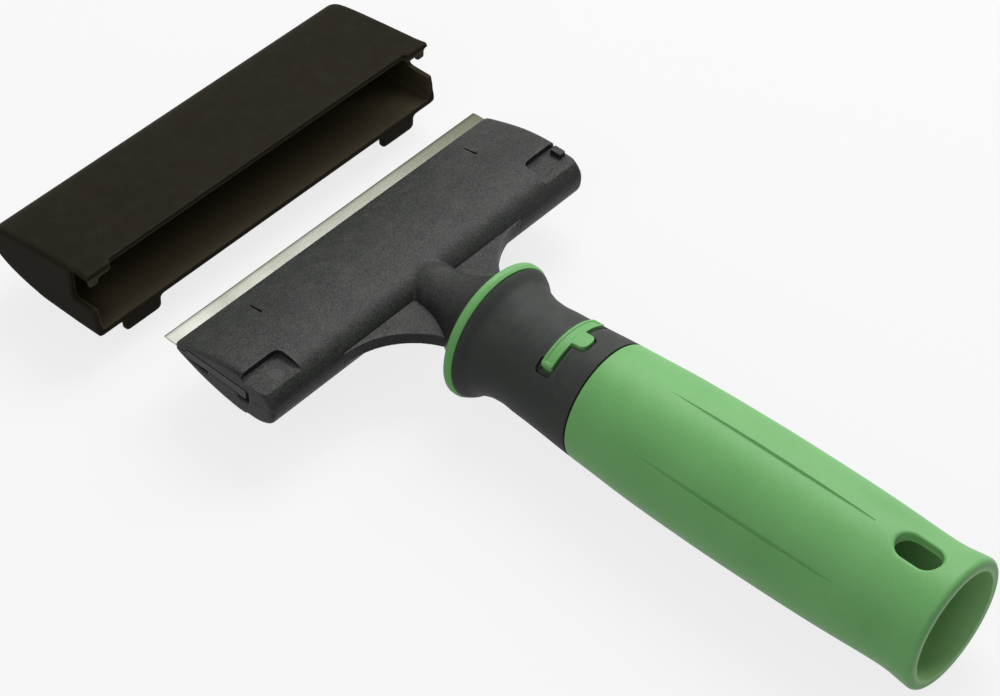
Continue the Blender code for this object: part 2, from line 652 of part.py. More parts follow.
def finish_head(body, parent):
    """Pockets, rib, screw holes and the finger's slot, and the lower half of the head."""
    half = HEAD_LENGTH / 2
    base = place("head_base", shell(-1.0), parent, finish="black_plastic", smooth=True)
    for upper, lower in pocket_cutters(parent):
        combine(body, upper, "DIFFERENCE")
        combine(base, lower, "DIFFERENCE")
    for cutter in bay_cutters("lower", -1.0, parent):
        combine(base, cutter, "DIFFERENCE")
    for cutter in rear_bay_cutters("lower", -1.0, parent):
        combine(base, cutter, "DIFFERENCE")
    room = neck_profile(GAP)[:4] + [(HEAD_REAR_Y - OVERRUN, NECK_R + GAP), (HEAD_REAR_Y - OVERRUN, 0.0)]
    combine(base, place("neck_room", turned(room), parent), "DIFFERENCE")
    reach = WEB_REACH + GAP
    web_room = box(
        (-reach, HEAD_REAR_Y - OVERRUN, -WEB_THICKNESS / 2 - GAP),
        (reach, HEAD_REAR_Y + WEB_ROOT + GAP, OVERRUN),
    )
    combine(base, place("web_room", web_room, parent), "DIFFERENCE")
    for cutter in screw_cutters("screw", parent):
        combine(base, cutter, "DIFFERENCE")
        combine(body, cutter, "DIFFERENCE")
    top = HEAD_RISE - POCKET_SINK
    rib_front = HEAD_REAR_Y + POCKET_DEPTH - RIB_SETBACK
    rib = box(
        (half - HEAD_END_BEVEL - RIB_WIDTH, rib_front - RIB_DEPTH, top - GAP),
        (half - HEAD_END_BEVEL, rib_front, HEAD_RISE - GAP),
    )
    combine(body, place("pocket_rib", rib, parent), "UNION")
    slot_half = FINGER_WIDTH / 2 + GAP
    slot = box(
        (-slot_half, FINGER_REAR_Y - OVERRUN, 0.0),
        (slot_half, FINGER_FRONT_Y + GAP, SPIGOT_R + OVERRUN),
    )
    combine(body, place("finger_slot", slot, parent), "DIFFERENCE")


def make_core(parent):
    """Green handle core: ring, tube below the collar, grip, partition and pole socket."""
    ring_rear = -RING_WIDTH
    collar_rear = -COLLAR_LENGTH - GAP
    bore = SPIGOT_R + GAP
    profile = [(BORE_END_Y, 0.0), (BORE_END_Y, bore), (0.0, bore)]
    profile += outline_between(0.0, ring_rear)
    profile += outline_between(ring_rear, collar_rear, COLLAR_WALL)
    profile += outline_between(collar_rear, -HANDLE_LENGTH)
    profile += [(-HANDLE_LENGTH, SOCKET_MOUTH_R), (SOCKET_END_Y, SOCKET_END_R), (SOCKET_END_Y, 0.0)]
    core = place("handle_core", turned(profile), parent, finish="green_plastic", smooth=True)
    for i in range(GROOVE_COUNT):
        cutter = place(f"grip_groove_{i}", groove(), parent)
        cutter.rotation_euler = (0.0, math.tau * i / GROOVE_COUNT, 0.0)
        combine(core, cutter, "DIFFERENCE")
    combine(core, place("lock_hole", lock_hole(), parent), "DIFFERENCE")
    pocket = along_z(button_plan(GAP, GAP, GAP), BUTTON_FLOOR, FLANGE_R)
    combine(core, place("button_pocket", pocket, parent), "DIFFERENCE")
    half_x = STEM_WIDTH / 2 + GAP
    half_y = STEM_DEPTH / 2 + GAP
    hole = box((-half_x, BUTTON_Y - half_y, 0.0), (half_x, BUTTON_Y + half_y, BUTTON_FLOOR + OVERRUN))
    combine(core, place("catch_hole", hole, parent), "DIFFERENCE")


def groove():
    """Straight wedge whose floor meets the swelling grip again at both ends."""
    floor = GRIP_R - GROOVE_SINK
    top = GRIP_R + OVERRUN
    half = GROOVE_WIDTH / 2 * (top - floor) / GROOVE_SINK
    section = [(0.0, floor), (half, top), (-half, top)]
    ends = (-GROOVE_START, GROOVE_END_ROOM - HANDLE_LENGTH)
    return loft(bmesh.new(), [[(x, y, z) for x, z in section] for y in ends])


def lock_hole():
    """Oval hole through the top wall, long way along the handle."""
    radius = LOCK_HOLE_WIDTH / 2
    shift = LOCK_HOLE_LENGTH / 2 - radius
    middle = LOCK_HOLE_SETBACK - HANDLE_LENGTH
    plan = []
    for sign in (1.0, -1.0):
        for i in range(LOCK_HOLE_STEPS + 1):
            a = math.pi * i / LOCK_HOLE_STEPS
            plan.append((sign * radius * math.cos(a), middle + sign * (shift + radius * math.sin(a))))
    return along_z(plan, SOCKET_END_R / 2, GRIP_R + OVERRUN)


def button_plan(side_room=0.0, front_room=0.0, room=0.0):
    """Plan of the T, seen from above, with room around it for pockets and windows."""
    half = BUTTON_BAR_WIDTH / 2 + side_room
    front = -BUTTON_REACH + front_room
    rear = -BUTTON_REACH - BUTTON_BAR_DEPTH - room
    tab = BUTTON_TAB_WIDTH / 2 + room
    end = rear - BUTTON_TAB_DEPTH
    cut = BUTTON_TAB_ROUND
    right = rounded((tab, end), (-1.0, 1.0), cut, 0.0)
    left = rounded((-tab, end), (1.0, 1.0), cut, -math.pi / 2)
    return [
        (-half, front), (half, front), (half, rear), (tab, rear), *right, *left, (-tab, rear),
        (-half, rear),
    ]


def make_collar(parent):
    """Soft black collar over the core, with the T-shaped window and a shallow dent round it."""
    front = -RING_WIDTH - GAP
    rear = -COLLAR_LENGTH
    outer = outline_between(front, rear)
    inner = outline_between(front, rear, COLLAR_WALL - GAP)
    bm = turned(outer + inner[::-1])
    collar = place("collar_grip", bm, parent, finish="black_rubber", smooth=True)
    window = along_z(button_plan(GAP, GAP, GAP), 0.0, FLANGE_R)
    dent = place(
        "window_dent", along_z(button_plan(WINDOW_END_ROOM, WINDOW_FRONT_ROOM, GAP), 0.0, FLANGE_R), parent
    )
    floor = [(front, 0.0)] + outline_between(front, rear, WINDOW_DENT) + [(rear, 0.0)]
    combine(dent, place("dent_floor", turned(floor), parent), "DIFFERENCE")
    combine(collar, dent, "DIFFERENCE")
    combine(collar, place("button_window", window, parent), "DIFFERENCE")


def make_button(parent):
    """T-shaped button that follows the collar's curve and stands a little proud of it."""
    origin = (0.0, BUTTON_Y, outer_r(BUTTON_Y))
    underside = BUTTON_FLOOR + BUTTON_TRAVEL + GAP
    bm = along_z(button_plan(), underside, FLANGE_R)
    button = place("lock_button", bm, parent, origin, "green_plastic", smooth=True)
    front = OVERRUN - BUTTON_REACH
    rear = -BUTTON_REACH - BUTTON_BAR_DEPTH - BUTTON_TAB_DEPTH - OVERRUN
    skin = [(front, 0.0)] + outline_between(front, rear, -BUTTON_PROUD) + [(rear, 0.0)]
    combine(button, place("button_skin", turned(skin), parent, smooth=True), "INTERSECT")
    stem = box(
        (-STEM_WIDTH / 2, BUTTON_Y - STEM_DEPTH / 2, BUTTON_FLOOR),
        (STEM_WIDTH / 2, BUTTON_Y + STEM_DEPTH / 2, underside + BUTTON_TRAVEL),
    )
    combine(button, place("button_stem", stem, parent), "UNION")


def make_finger(parent):
    """Catch finger: a flat spring bar with a nub that locks in the core."""
    pivot = (0.0, FINGER_FRONT_Y - FINGER_PIVOT_SETBACK, FINGER_RISE - FINGER_THICKNESS / 2)
    bar = box(
        (-FINGER_WIDTH / 2, FINGER_REAR_Y, FINGER_RISE - FINGER_THICKNESS),
        (FINGER_WIDTH / 2, FINGER_FRONT_Y, FINGER_RISE),
    )
    finger = place("catch_finger", bar, parent, pivot, "black_plastic")
    nub = box(
        (-NUB_WIDTH / 2, BUTTON_Y - NUB_DEPTH / 2, FINGER_RISE - FINGER_THICKNESS / 2),
        (NUB_WIDTH / 2, BUTTON_Y + NUB_DEPTH / 2, BUTTON_FLOOR - GAP),
    )
    combine(finger, place("finger_nub", nub, parent), "UNION")


def cap_section(inward=0.0, rear=0.0, top_rear=0.0):
    """Section of the cap from its top rear edge, round the nose, to its bottom rear edge."""
    depth = CAP_DEPTH - inward
    top = [(depth * along, (CAP_RISE - inward) * out) for along, out in CAP_TOP_SHARES]
    bottom = [(depth * along, (inward - CAP_DROP) * out) for along, out in CAP_BOTTOM_SHARES]
    top[0] = (top_rear, top[0][1])
    bottom[-1] = (rear, bottom[-1][1])
    return [(CAP_REAR_Y + u, v) for u, v in top + bottom]


def make_cap(parent):
    """Cap with thin walls, end walls slotted below the top, corner hooks and thumb lugs."""
    origin = (0.0, CAP_REAR_Y, 0.0)
    half = CAP_LENGTH / 2
    outer = cap_section(top_rear=CAP_TOP_SETBACK)
    inner = cap_section(CAP_WALL, -OVERRUN, -OVERRUN)
    ends = cap_section(CAP_END_BEVEL, top_rear=CAP_TOP_SETBACK)
    bm = along_x(outer, -half, half, ends, CAP_END_BEVEL)
    cap = place("blade_cap", bm, parent, origin, "cap_plastic", smooth=True)
    cavity = along_x(inner, CAP_WALL - half, half - CAP_WALL)
    combine(cap, place("cap_cavity", cavity, parent), "DIFFERENCE")
    roof = inner[0][1]
    edge = half - CAP_END_BEVEL
    tip_y = CAP_REAR_Y + CAP_TOP_SETBACK
    plate_end = edge - TONGUE_WIDTH
    recess = box((-plate_end, CAP_REAR_Y - OVERRUN, 0.0), (plate_end, tip_y + TONGUE_REACH, CAP_RISE + OVERRUN))
    combine(cap, place("plate_recess", recess, parent), "DIFFERENCE")
    for name, sign in (("left", -1.0), ("right", 1.0)):
        inside = half - CAP_WALL - OVERRUN
        xs = sorted((sign * inside, sign * (half + OVERRUN)))
        slot = box(
            (xs[0], CAP_REAR_Y - OVERRUN, roof - TONGUE_SLOT_HEIGHT),
            (xs[1], CAP_REAR_Y + TONGUE_SLOT_LENGTH, roof - GAP),
        )
        combine(cap, place(f"tongue_slot_{name}", slot, parent), "DIFFERENCE")
        tip = HEAD_LENGTH / 2 + TONGUE_TIP_ROOM
        for part, start, drop in (("hook", plate_end, TONGUE_HOOK_DROP), ("tip", tip, TONGUE_TIP_DROP)):
            xs = sorted((sign * start, sign * edge))
            hook = box(
                (xs[0], tip_y, roof - drop), (xs[1], tip_y + TONGUE_HOOK_DEPTH, roof + CAP_WALL / 2)
            )
            combine(cap, place(f"tongue_{part}_{name}", hook, parent), "UNION")
        combine(cap, place(f"thumb_lug_{name}", lug(sign), parent), "UNION")


def lug(sign):
    """Plate below the bottom wall, rounded at its lower corners."""
    outer = CAP_LENGTH / 2 - LUG_END_ROOM
    inner = outer - LUG_WIDTH
    top = -CAP_DROP + CAP_WALL
    low = -CAP_DROP - LUG_DROP
    cut = LUG_ROUND
    front = [
        (inner, top), (inner, low + cut), (inner + cut, low), (outer - cut, low),
        (outer, low + cut), (outer, top),
    ]
    ys = (CAP_REAR_Y, CAP_REAR_Y + LUG_THICKNESS)
    return loft(bmesh.new(), [[(sign * x, y, z) for x, z in front] for y in ys])


def main():
    clear_scene()
    tool = bpy.data.objects.new("tool", None)
    bpy.context.scene.collection.objects.link(tool)
    tool.location = (0.0, -MIDDLE_Y, -FLOOR_Z)
    make_blade(tool)
    make_carrier(tool)
    body = make_head_body(tool)
    finish_head(body, tool)
    make_screws(tool)
    make_core(tool)
    make_collar(tool)
    make_button(tool)
    make_finger(tool)
    make_cap(tool)
    print("tool frame shift", tuple(round(value / MM, 3) for value in tool.location))


main()
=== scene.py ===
# %% [markdown]
# # A glass scraper with its blade cap taken off
#
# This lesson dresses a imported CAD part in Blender. The real tool has a green moulded grip,
# a soft black collar with a T-shaped release button, a black head that clamps a steel
# blade, and a dark cap that slides over the blade. The CAD part already has the sizes, the
# places and the joints, so each piece here is drawn again in the same place, with rounder
# edges and with a material that shows what it is made of.

# %% Load the frame
import math

import bmesh
import bpy
import numpy as np
from mathutils import Matrix, Vector


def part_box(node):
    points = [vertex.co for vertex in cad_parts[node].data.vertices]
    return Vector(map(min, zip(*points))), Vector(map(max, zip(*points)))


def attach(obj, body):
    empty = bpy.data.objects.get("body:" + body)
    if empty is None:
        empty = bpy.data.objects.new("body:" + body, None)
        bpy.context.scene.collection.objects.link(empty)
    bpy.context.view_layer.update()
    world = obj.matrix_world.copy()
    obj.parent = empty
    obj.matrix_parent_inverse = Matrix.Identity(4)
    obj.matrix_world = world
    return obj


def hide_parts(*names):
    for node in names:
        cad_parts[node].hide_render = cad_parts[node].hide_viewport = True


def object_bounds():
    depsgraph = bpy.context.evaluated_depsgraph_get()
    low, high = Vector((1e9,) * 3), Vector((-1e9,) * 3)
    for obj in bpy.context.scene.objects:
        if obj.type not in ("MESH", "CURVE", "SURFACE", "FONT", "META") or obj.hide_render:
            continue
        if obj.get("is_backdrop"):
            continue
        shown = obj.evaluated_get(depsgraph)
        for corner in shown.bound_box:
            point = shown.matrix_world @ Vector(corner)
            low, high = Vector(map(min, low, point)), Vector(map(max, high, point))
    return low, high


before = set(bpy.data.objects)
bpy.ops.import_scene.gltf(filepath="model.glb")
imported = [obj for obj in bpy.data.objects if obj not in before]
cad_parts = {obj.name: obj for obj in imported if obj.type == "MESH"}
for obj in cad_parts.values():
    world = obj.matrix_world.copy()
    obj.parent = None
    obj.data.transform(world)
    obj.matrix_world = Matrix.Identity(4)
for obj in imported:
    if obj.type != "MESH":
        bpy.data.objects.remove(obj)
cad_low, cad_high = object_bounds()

# %% [markdown]
# ## Where the tool lies
#
# Everything is drawn about the handle's axis, with y = 0 at the front of the green ring and
# the blade towards +Y. A last step sets each mesh down at the place that the CAD handle
# gives, so that the finished objects stay at the origin, unturned and unscaled.

# %% Find the handle's axis
MM = 0.001
core_low, core_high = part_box("handle_core")
SET_DOWN = Vector((0.0, core_high.y, (core_low.z + core_high.z) / 2))
print("tool frame stands at", [round(value / MM, 3) for value in SET_DOWN])

# %% [markdown]
# ## A small box of mesh tools
#
# Most of these pieces are moulded plastic, and a mould is cut from simple shapes: bars,
# plates and turned plugs that are added to or taken from each other. `bmesh` draws the
# shapes, the Boolean modifier joins them, and `new_from_object` keeps the result as a plain
# mesh. Building from solids keeps every piece closed, which a sculpted surface would not.

# %% Mesh helpers
OVERRUN = 2.0 * MM
SAME_SPOT = 0.002 * MM


def link(name, data):
    """An object in the scene for a mesh, a lamp or a camera."""
    item = bpy.data.objects.new(name, data)
    bpy.context.scene.collection.objects.link(item)
    return item


def new_piece(name, bm):
    """An object for a bmesh, with its faces turned outwards."""
    bmesh.ops.recalc_face_normals(bm, faces=bm.faces)
    mesh = bpy.data.meshes.new(name)
    bm.to_mesh(mesh)
    bm.free()
    return link(name, mesh)


def keep_result(item):
    """Replace an object's mesh by what its modifiers make of it."""
    bpy.context.view_layer.update()
    graph = bpy.context.evaluated_depsgraph_get()
    made = bpy.data.meshes.new_from_object(item.evaluated_get(graph))
    item.modifiers.clear()
    item.data = made
    return item


def combine(item, tools, operation="DIFFERENCE"):
    """Cut objects or plain solids from an object, join them to it or keep the common part."""
    solid = bmesh.types.BMesh
    tools = [new_piece("tool", tool) if isinstance(tool, solid) else tool for tool in tools]
    for tool in tools:
        modifier = item.modifiers.new(tool.name, "BOOLEAN")
        modifier.operation = operation
        modifier.solver = "EXACT"
        modifier.object = tool
    keep_result(item)
    for tool in tools:
        bpy.data.objects.remove(tool)
    return item


def weld(item, outwards=False):
    """Join corners that lie on the same spot, and turn the faces outwards if asked to."""
    bm = bmesh.new()
    bm.from_mesh(item.data)
    bmesh.ops.remove_doubles(bm, verts=bm.verts, dist=SAME_SPOT)
    if outwards:
        bmesh.ops.recalc_face_normals(bm, faces=bm.faces)
    bm.to_mesh(item.data)
    bm.free()
    return item


def loft(sections):
    """Bridge closed loops of points one after another and close both ends."""
    bm = bmesh.new()
    rings = [[bm.verts.new(point) for point in section] for section in sections]
    for low, high in zip(rings, rings[1:]):
        for i in range(len(low)):
            j = (i + 1) % len(low)
            bm.faces.new((low[i], low[j], high[j], high[i]))
    bm.faces.new(rings[0])
    bm.faces.new(rings[-1])
    return bm


def along_x(outline, low, high):
    return loft([[(x, y, z) for y, z in outline] for x in (low, high)])


def along_y(outline, low, high):
    return loft([[(x, y, z) for x, z in outline] for y in (low, high)])


def along_z(outline, low, high):
    return loft([[(x, y, z) for x, y in outline] for z in (low, high)])


def block(one, other):
    """A box between two opposite corners, in either order."""
    (x0, x1), (y0, y1), (z0, z1) = (sorted(pair) for pair in zip(one, other))
    return along_z([(x0, y0), (x1, y0), (x1, y1), (x0, y1)], z0, z1)


# %% [markdown]
# ## Smooth outlines
#
# The CAD outlines are short lists of points. A curve through them has to be smooth, but it
# must not swing past a point, or a waist would get deeper than the real one. A monotone
# cubic curve does both. Corners get a true round of a given radius.

# %% Outline helpers
ARC_STEPS = 5
CIRCLE_STEPS = 40
NEARLY_STRAIGHT = math.radians(88)


def eased(points, parts=6):
    """A smooth curve through the points that never swings past them."""
    given = np.array(points, float)
    step = np.linalg.norm(np.diff(given, axis=0), axis=1)[:, None]
    slope = np.diff(given, axis=0) / step
    tangent = np.zeros_like(given)
    tangent[0], tangent[-1] = slope[0], slope[-1]
    before, after = slope[:-1], slope[1:]
    same_way = before * after > 0
    weight_a = 2 * step[1:] + step[:-1]
    weight_b = step[1:] + 2 * step[:-1]
    safe_before = np.where(same_way, before, 1.0)
    safe_after = np.where(same_way, after, 1.0)
    mean = (weight_a + weight_b) / (weight_a / safe_before + weight_b / safe_after)
    tangent[1:-1] = np.where(same_way, mean, 0.0)
    s = np.linspace(0.0, 1.0, parts, endpoint=False)[:, None]
    pieces = []
    for i in range(len(step)):
        start = (1 + 2 * s) * (1 - s) ** 2 * given[i] + s * (1 - s) ** 2 * step[i] * tangent[i]
        end = s * s * (3 - 2 * s) * given[i + 1] + s * s * (s - 1) * step[i] * tangent[i + 1]
        pieces.append(start + end)
    pieces.append(given[-1:])
    return [tuple(point) for point in np.concatenate(pieces)]


def rounded(points, radii, closed=True):
    """The outline with its corners rounded; a radius of zero keeps a corner."""
    if not isinstance(radii, (list, tuple)):
        radii = [radii] * len(points)
    made = []
    count = len(points)
    for i, radius in enumerate(radii):
        here = Vector(points[i])
        ends = not closed and i in (0, count - 1)
        if radius == 0 or ends:
            made.append(tuple(here))
            continue
        back = Vector(points[i - 1]) - here
        ahead = Vector(points[(i + 1) % count]) - here
        room = min(back.length, ahead.length) / 2
        back.normalize()
        ahead.normalize()
        half = back.angle(ahead) / 2
        if half > NEARLY_STRAIGHT:
            made.append(tuple(here))
            continue
        reach = min(radius / math.tan(half), room)
        true_radius = reach * math.tan(half)
        centre = here + (back + ahead).normalized() * (true_radius / math.sin(half))
        first = (here + back * reach - centre).normalized()
        last = (here + ahead * reach - centre).normalized()
        for k in range(ARC_STEPS + 1):
            made.append(tuple(centre + first.slerp(last, k / ARC_STEPS) * true_radius))
    return made


def round_plan(centre, radius):
    turns = [math.tau * k / CIRCLE_STEPS for k in range(CIRCLE_STEPS)]
    return [(centre[0] + radius * math.cos(a), centre[1] + radius * math.sin(a)) for a in turns]


def rounded_bar(section, half, radius):
    """A bar along X with rounded ends; section(inward) gives its outline, moved inwards."""
    ends = []
    for k in range(ARC_STEPS + 1):
        a = math.pi / 2 * k / ARC_STEPS
        x, inward = half - radius * (1 - math.cos(a)), radius * (1 - math.sin(a))
        ends += [(x, inward), (-x, inward)]
    return loft([[(x, y, z) for y, z in section(inward)] for x, inward in sorted(ends)])


# %% [markdown]
# ## A lathe in Geometry Nodes
#
# The grip, the ring and the collar are round all the way, so one rule makes them: take an
# outline and turn it about the axis. Geometry Nodes fit well, because the rule stays the
# same and only the outline and the number of steps change. The tree samples the outline's
# points by row and turns each column of a grid by its share of a full circle.

# %% Build the lathe
LATHE_MERGE = 0.0005 * MM


class Nodes:
    """A node tree with short ways to add nodes and to join them."""

    def __init__(self, tree):
        self.tree = tree

    def wire(self, node, wires):
        """Set inputs to values, or join them to a socket or to each of a list of sockets."""
        for key, value in wires.items():
            if not isinstance(value, (list, bpy.types.NodeSocket)):
                node.inputs[key].default_value = value
                continue
            for socket in value if isinstance(value, list) else [value]:
                self.tree.links.new(socket, node.inputs[key])
        return node.outputs

    def put(self, kind, wires=None, **settings):
        """Add a node with its settings and inputs, and give back its outputs."""
        node = self.tree.nodes.new(kind)
        for key, value in settings.items():
            setattr(node, key, value)
        return self.wire(node, wires or {})

    def calc(self, operation, first, second=0.0):
        return self.put("ShaderNodeMath", {0: first, 1: second}, operation=operation)[0]


def geometry_nodes(name, sizes, kind):
    """An empty Geometry Nodes tree: a geometry, sizes of one kind and a material go in."""
    tree = bpy.data.node_groups.new(name, "GeometryNodeTree")
    for label in ["Geometry", *sizes, "Material"]:
        socket_kind = "NodeSocket" + (kind if label in sizes else label)
        tree.interface.new_socket(label, in_out="INPUT", socket_type=socket_kind)
    tree.interface.new_socket("Geometry", in_out="OUTPUT", socket_type="NodeSocketGeometry")
    nodes = Nodes(tree)
    return nodes, nodes.put("NodeGroupInput")


def end_nodes(nodes, given, geometry):
    """Close a tree with Realize Instances and Set Material."""
    real = nodes.put("GeometryNodeRealizeInstances", {"Geometry": geometry})[0]
    wires = {"Geometry": real, "Material": given["Material"]}
    nodes.put("NodeGroupOutput", {"Geometry": nodes.put("GeometryNodeSetMaterial", wires)[0]})


def run_nodes(item, nodes, values):
    """Run a tree on an object with its inputs set by identifier, and keep the mesh."""
    modifier = item.modifiers.new(nodes.tree.name, "NODES")
    modifier.node_group = nodes.tree
    for socket in nodes.tree.interface.items_tree:
        if socket.in_out == "INPUT" and socket.name in values:
            modifier[socket.identifier] = values[socket.name]
    return keep_result(item)


lathe, given = geometry_nodes("lathe", ["Steps"], "Int")
count = lathe.put("GeometryNodeAttributeDomainSize", {"Geometry": given["Geometry"]})["Point Count"]
columns = lathe.calc("ADD", given["Steps"], 1.0)
grid = lathe.put("GeometryNodeMeshGrid", {"Vertices X": columns, "Vertices Y": count})["Mesh"]
index = lathe.put("GeometryNodeInputIndex")[0]
column = lathe.calc("FLOOR", lathe.calc("DIVIDE", index, count))
turn = lathe.calc("MULTIPLY", lathe.calc("DIVIDE", column, given["Steps"]), math.tau)
position = lathe.put("GeometryNodeInputPosition")[0]
row = lathe.calc("MODULO", index, count)
sample = lathe.put(
    "GeometryNodeSampleIndex",
    {"Geometry": given["Geometry"], "Value": position, "Index": row},
    data_type="FLOAT_VECTOR",
)[0]
parts = lathe.put("ShaderNodeSeparateXYZ", {0: sample})
x = lathe.calc("MULTIPLY", parts["Z"], lathe.calc("SINE", turn))
z = lathe.calc("MULTIPLY", parts["Z"], lathe.calc("COSINE", turn))
place = lathe.put("ShaderNodeCombineXYZ", {"X": x, "Y": parts["Y"], "Z": z})[0]
moved = lathe.put("GeometryNodeSetPosition", {"Geometry": grid, "Position": place})[0]
merging = {"Geometry": moved, "Distance": LATHE_MERGE}
end_nodes(lathe, given, lathe.put("GeometryNodeMergeByDistance", merging)[0])


def turned(name, outline, steps=160, closed=False):
    """Turn a (y, r) outline about the handle's axis."""
    bm = bmesh.new()
    points = list(outline) + ([outline[0]] if closed else [])
    verts = [bm.verts.new((0.0, y, r)) for y, r in points]
    for pair in zip(verts, verts[1:]):
        bm.edges.new(pair)
    return weld(run_nodes(new_piece(name, bm), lathe, {"Steps": steps}), outwards=True)


# %% [markdown]
# ## The handle's outline
#
# From the side the handle is one long curve: a flange that stops the hand, a waist for the
# thumb, a belly that fills the palm, and a slight throat before the mouth of the pole
# socket. The numbers are shares of the way from one of these places to the next.

# %% Draw the handle's outline
HANDLE_LENGTH = 123.2 * MM
RING_FACE_R = 15.9 * MM
RING_ROUND = 0.5 * MM
FLANGE_R = 16.56 * MM
CREST = (-1.5 * MM, FLANGE_R)
WAIST = (-12.3 * MM, 12.52 * MM)
BELLY = (-73.5 * MM, 15.54 * MM)
THROAT = (8.8 * MM - HANDLE_LENGTH, 14.65 * MM)
MOUTH = (-HANDLE_LENGTH, 15.49 * MM)
FLANGE_SHARES = [(0.148, 0.22), (0.333, 0.626), (0.52, 0.82), (0.713, 0.953), (1.0, 1.0)]
SWELL_SHARES = [
    (0.05, 0.09), (0.116, 0.17), (0.2, 0.3), (0.3, 0.467), (0.433, 0.632), (0.6, 0.834),
    (0.8, 0.95), (1.0, 1.0),
]
TAPER_SHARES = [(0.3, 0.067), (0.55, 0.26), (0.748, 0.573), (0.9, 0.888), (1.0, 1.0)]
MOUTH_SHARES = [(0.25, 0.1), (0.494, 0.38), (0.75, 0.74), (1.0, 1.0)]


def stretch(start, end, shares):
    return [
        (start[0] + (end[0] - start[0]) * along, start[1] + (end[1] - start[1]) * out)
        for along, out in shares
    ]


curve = [CREST] + stretch(CREST, WAIST, FLANGE_SHARES) + stretch(WAIST, BELLY, SWELL_SHARES)
curve += stretch(BELLY, THROAT, TAPER_SHARES) + stretch(THROAT, MOUTH, MOUTH_SHARES)
HANDLE_CURVE = [(0.0, RING_FACE_R), (-RING_ROUND, FLANGE_R)] + eased(curve)
curve_y = np.array([y for y, r in HANDLE_CURVE])[::-1]
curve_r = np.array([r for y, r in HANDLE_CURVE])[::-1]


def outer_r(y):
    """Radius of the handle at y."""
    return float(np.interp(y, curve_y, curve_r))


def outline_between(front, rear, inward=0.0):
    """The handle's outline from one y back to another, moved inwards."""
    ys = [front] + [y for y, r in HANDLE_CURVE if rear < y < front] + [rear]
    return [(y, outer_r(y) - inward) for y in ys]


print("handle outline:", len(HANDLE_CURVE), "points")

# %% [markdown]
# ## The grip, the ring and the tube between them
#
# The green core is one moulding. The ring in front and the grip behind stand higher than
# the tube between them, where the collar sits. The edge next to the collar is slightly
# rounded, which leaves the fine dark line that separates green from black.

# %% Turn the green core
GAP = 0.3 * MM
RING_WIDTH = 2.3 * MM
COLLAR_LENGTH = 32.4 * MM
COLLAR_WALL = 1.6 * MM
BORE_R = 7.0 * MM
BORE_END_Y = -35.5 * MM
SOCKET_END_Y = -40.5 * MM
SOCKET_MOUTH_R = 12.7 * MM
SOCKET_END_R = 11.2 * MM
BORE_LIP = 0.4 * MM
RING_LIP = 0.3 * MM
RING_REAR_LIP = 0.15 * MM
EDGE_ROUND = 0.35 * MM
EDGE_REACH = 2.0 * MM
MOUTH_ROUND = 1.4 * MM
MOUTH_REACH = 2.4 * MOUTH_ROUND
MOUTH_INNER_ROUND = 0.2 * MM
FINE_STEPS = 192

collar_rear = -COLLAR_LENGTH - GAP
edge_rear = collar_rear - EDGE_REACH
front = [(BORE_END_Y, 0.0), (BORE_END_Y, BORE_R), (0.0, BORE_R), (0.0, RING_FACE_R)]
ring = outline_between(-RING_ROUND, -RING_WIDTH)
front += ring + [(-RING_WIDTH, ring[-1][1] - COLLAR_WALL)]
radii = [0, 0, BORE_LIP, RING_LIP, RING_LIP] + [0] * (len(ring) - 2) + [RING_REAR_LIP, 0]
front = rounded(front, radii, closed=False)
tube = outline_between(-RING_WIDTH, collar_rear, COLLAR_WALL)[1:]
edge = [tube[-1], (collar_rear, outer_r(collar_rear)), (edge_rear, outer_r(edge_rear))]
edge = rounded(edge, [0, EDGE_ROUND, 0], closed=False)[1:-1]
grip = outline_between(edge_rear, -HANDLE_LENGTH + MOUTH_REACH)
mouth = [grip[-1], MOUTH, (-HANDLE_LENGTH, SOCKET_MOUTH_R), (SOCKET_END_Y, SOCKET_END_R)]
mouth = rounded(mouth, [0, MOUTH_ROUND, MOUTH_INNER_ROUND, 0], closed=False)[1:-1]
socket = [(SOCKET_END_Y, SOCKET_END_R), (SOCKET_END_Y, 0.0)]
handle = turned("grip_and_ring", front + tube + edge + grip + mouth + socket, FINE_STEPS)
print("handle faces:", len(handle.data.polygons))

# %% [markdown]
# ## Six finger grooves
#
# Six fine grooves run along the grip and fade out at both ends. One wedge makes one groove:
# its edge is straight while the grip swells, so the groove is deepest in the middle. The
# other five are the same wedge turned about the axis, a task for Instance on Points.

# %% Cut the grooves
GROOVE_COUNT = 6
GROOVE_FLOOR_R = 14.84 * MM
GROOVE_WIDTH = 1.1 * MM
GROOVE_SINK = 0.7 * MM
GROOVE_ROUND = 0.25 * MM
GROOVE_ENDS = (-43.5 * MM, -101.5 * MM)

grooves, given = geometry_nodes("ring_of_grooves", ["Count"], "Int")
spots = grooves.put("GeometryNodePoints", {"Count": given["Count"]})[0]
share = grooves.calc("DIVIDE", grooves.put("GeometryNodeInputIndex")[0], given["Count"])
spin = grooves.put("ShaderNodeCombineXYZ", {"Y": grooves.calc("MULTIPLY", share, math.tau)})[0]
wires = {"Points": spots, "Instance": given["Geometry"], "Rotation": spin}
end_nodes(grooves, given, grooves.put("GeometryNodeInstanceOnPoints", wires)[0])

top = GROOVE_FLOOR_R + GROOVE_SINK + OVERRUN
half = GROOVE_WIDTH / 2 * (top - GROOVE_FLOOR_R) / GROOVE_SINK
section = rounded([(0.0, GROOVE_FLOOR_R), (half, top), (-half, top)], [GROOVE_ROUND, 0, 0])
wedge = new_piece("grooves", along_y(section, *GROOVE_ENDS))
combine(handle, [run_nodes(wedge, grooves, {"Count": GROOVE_COUNT})])
print("grooves:", GROOVE_COUNT)

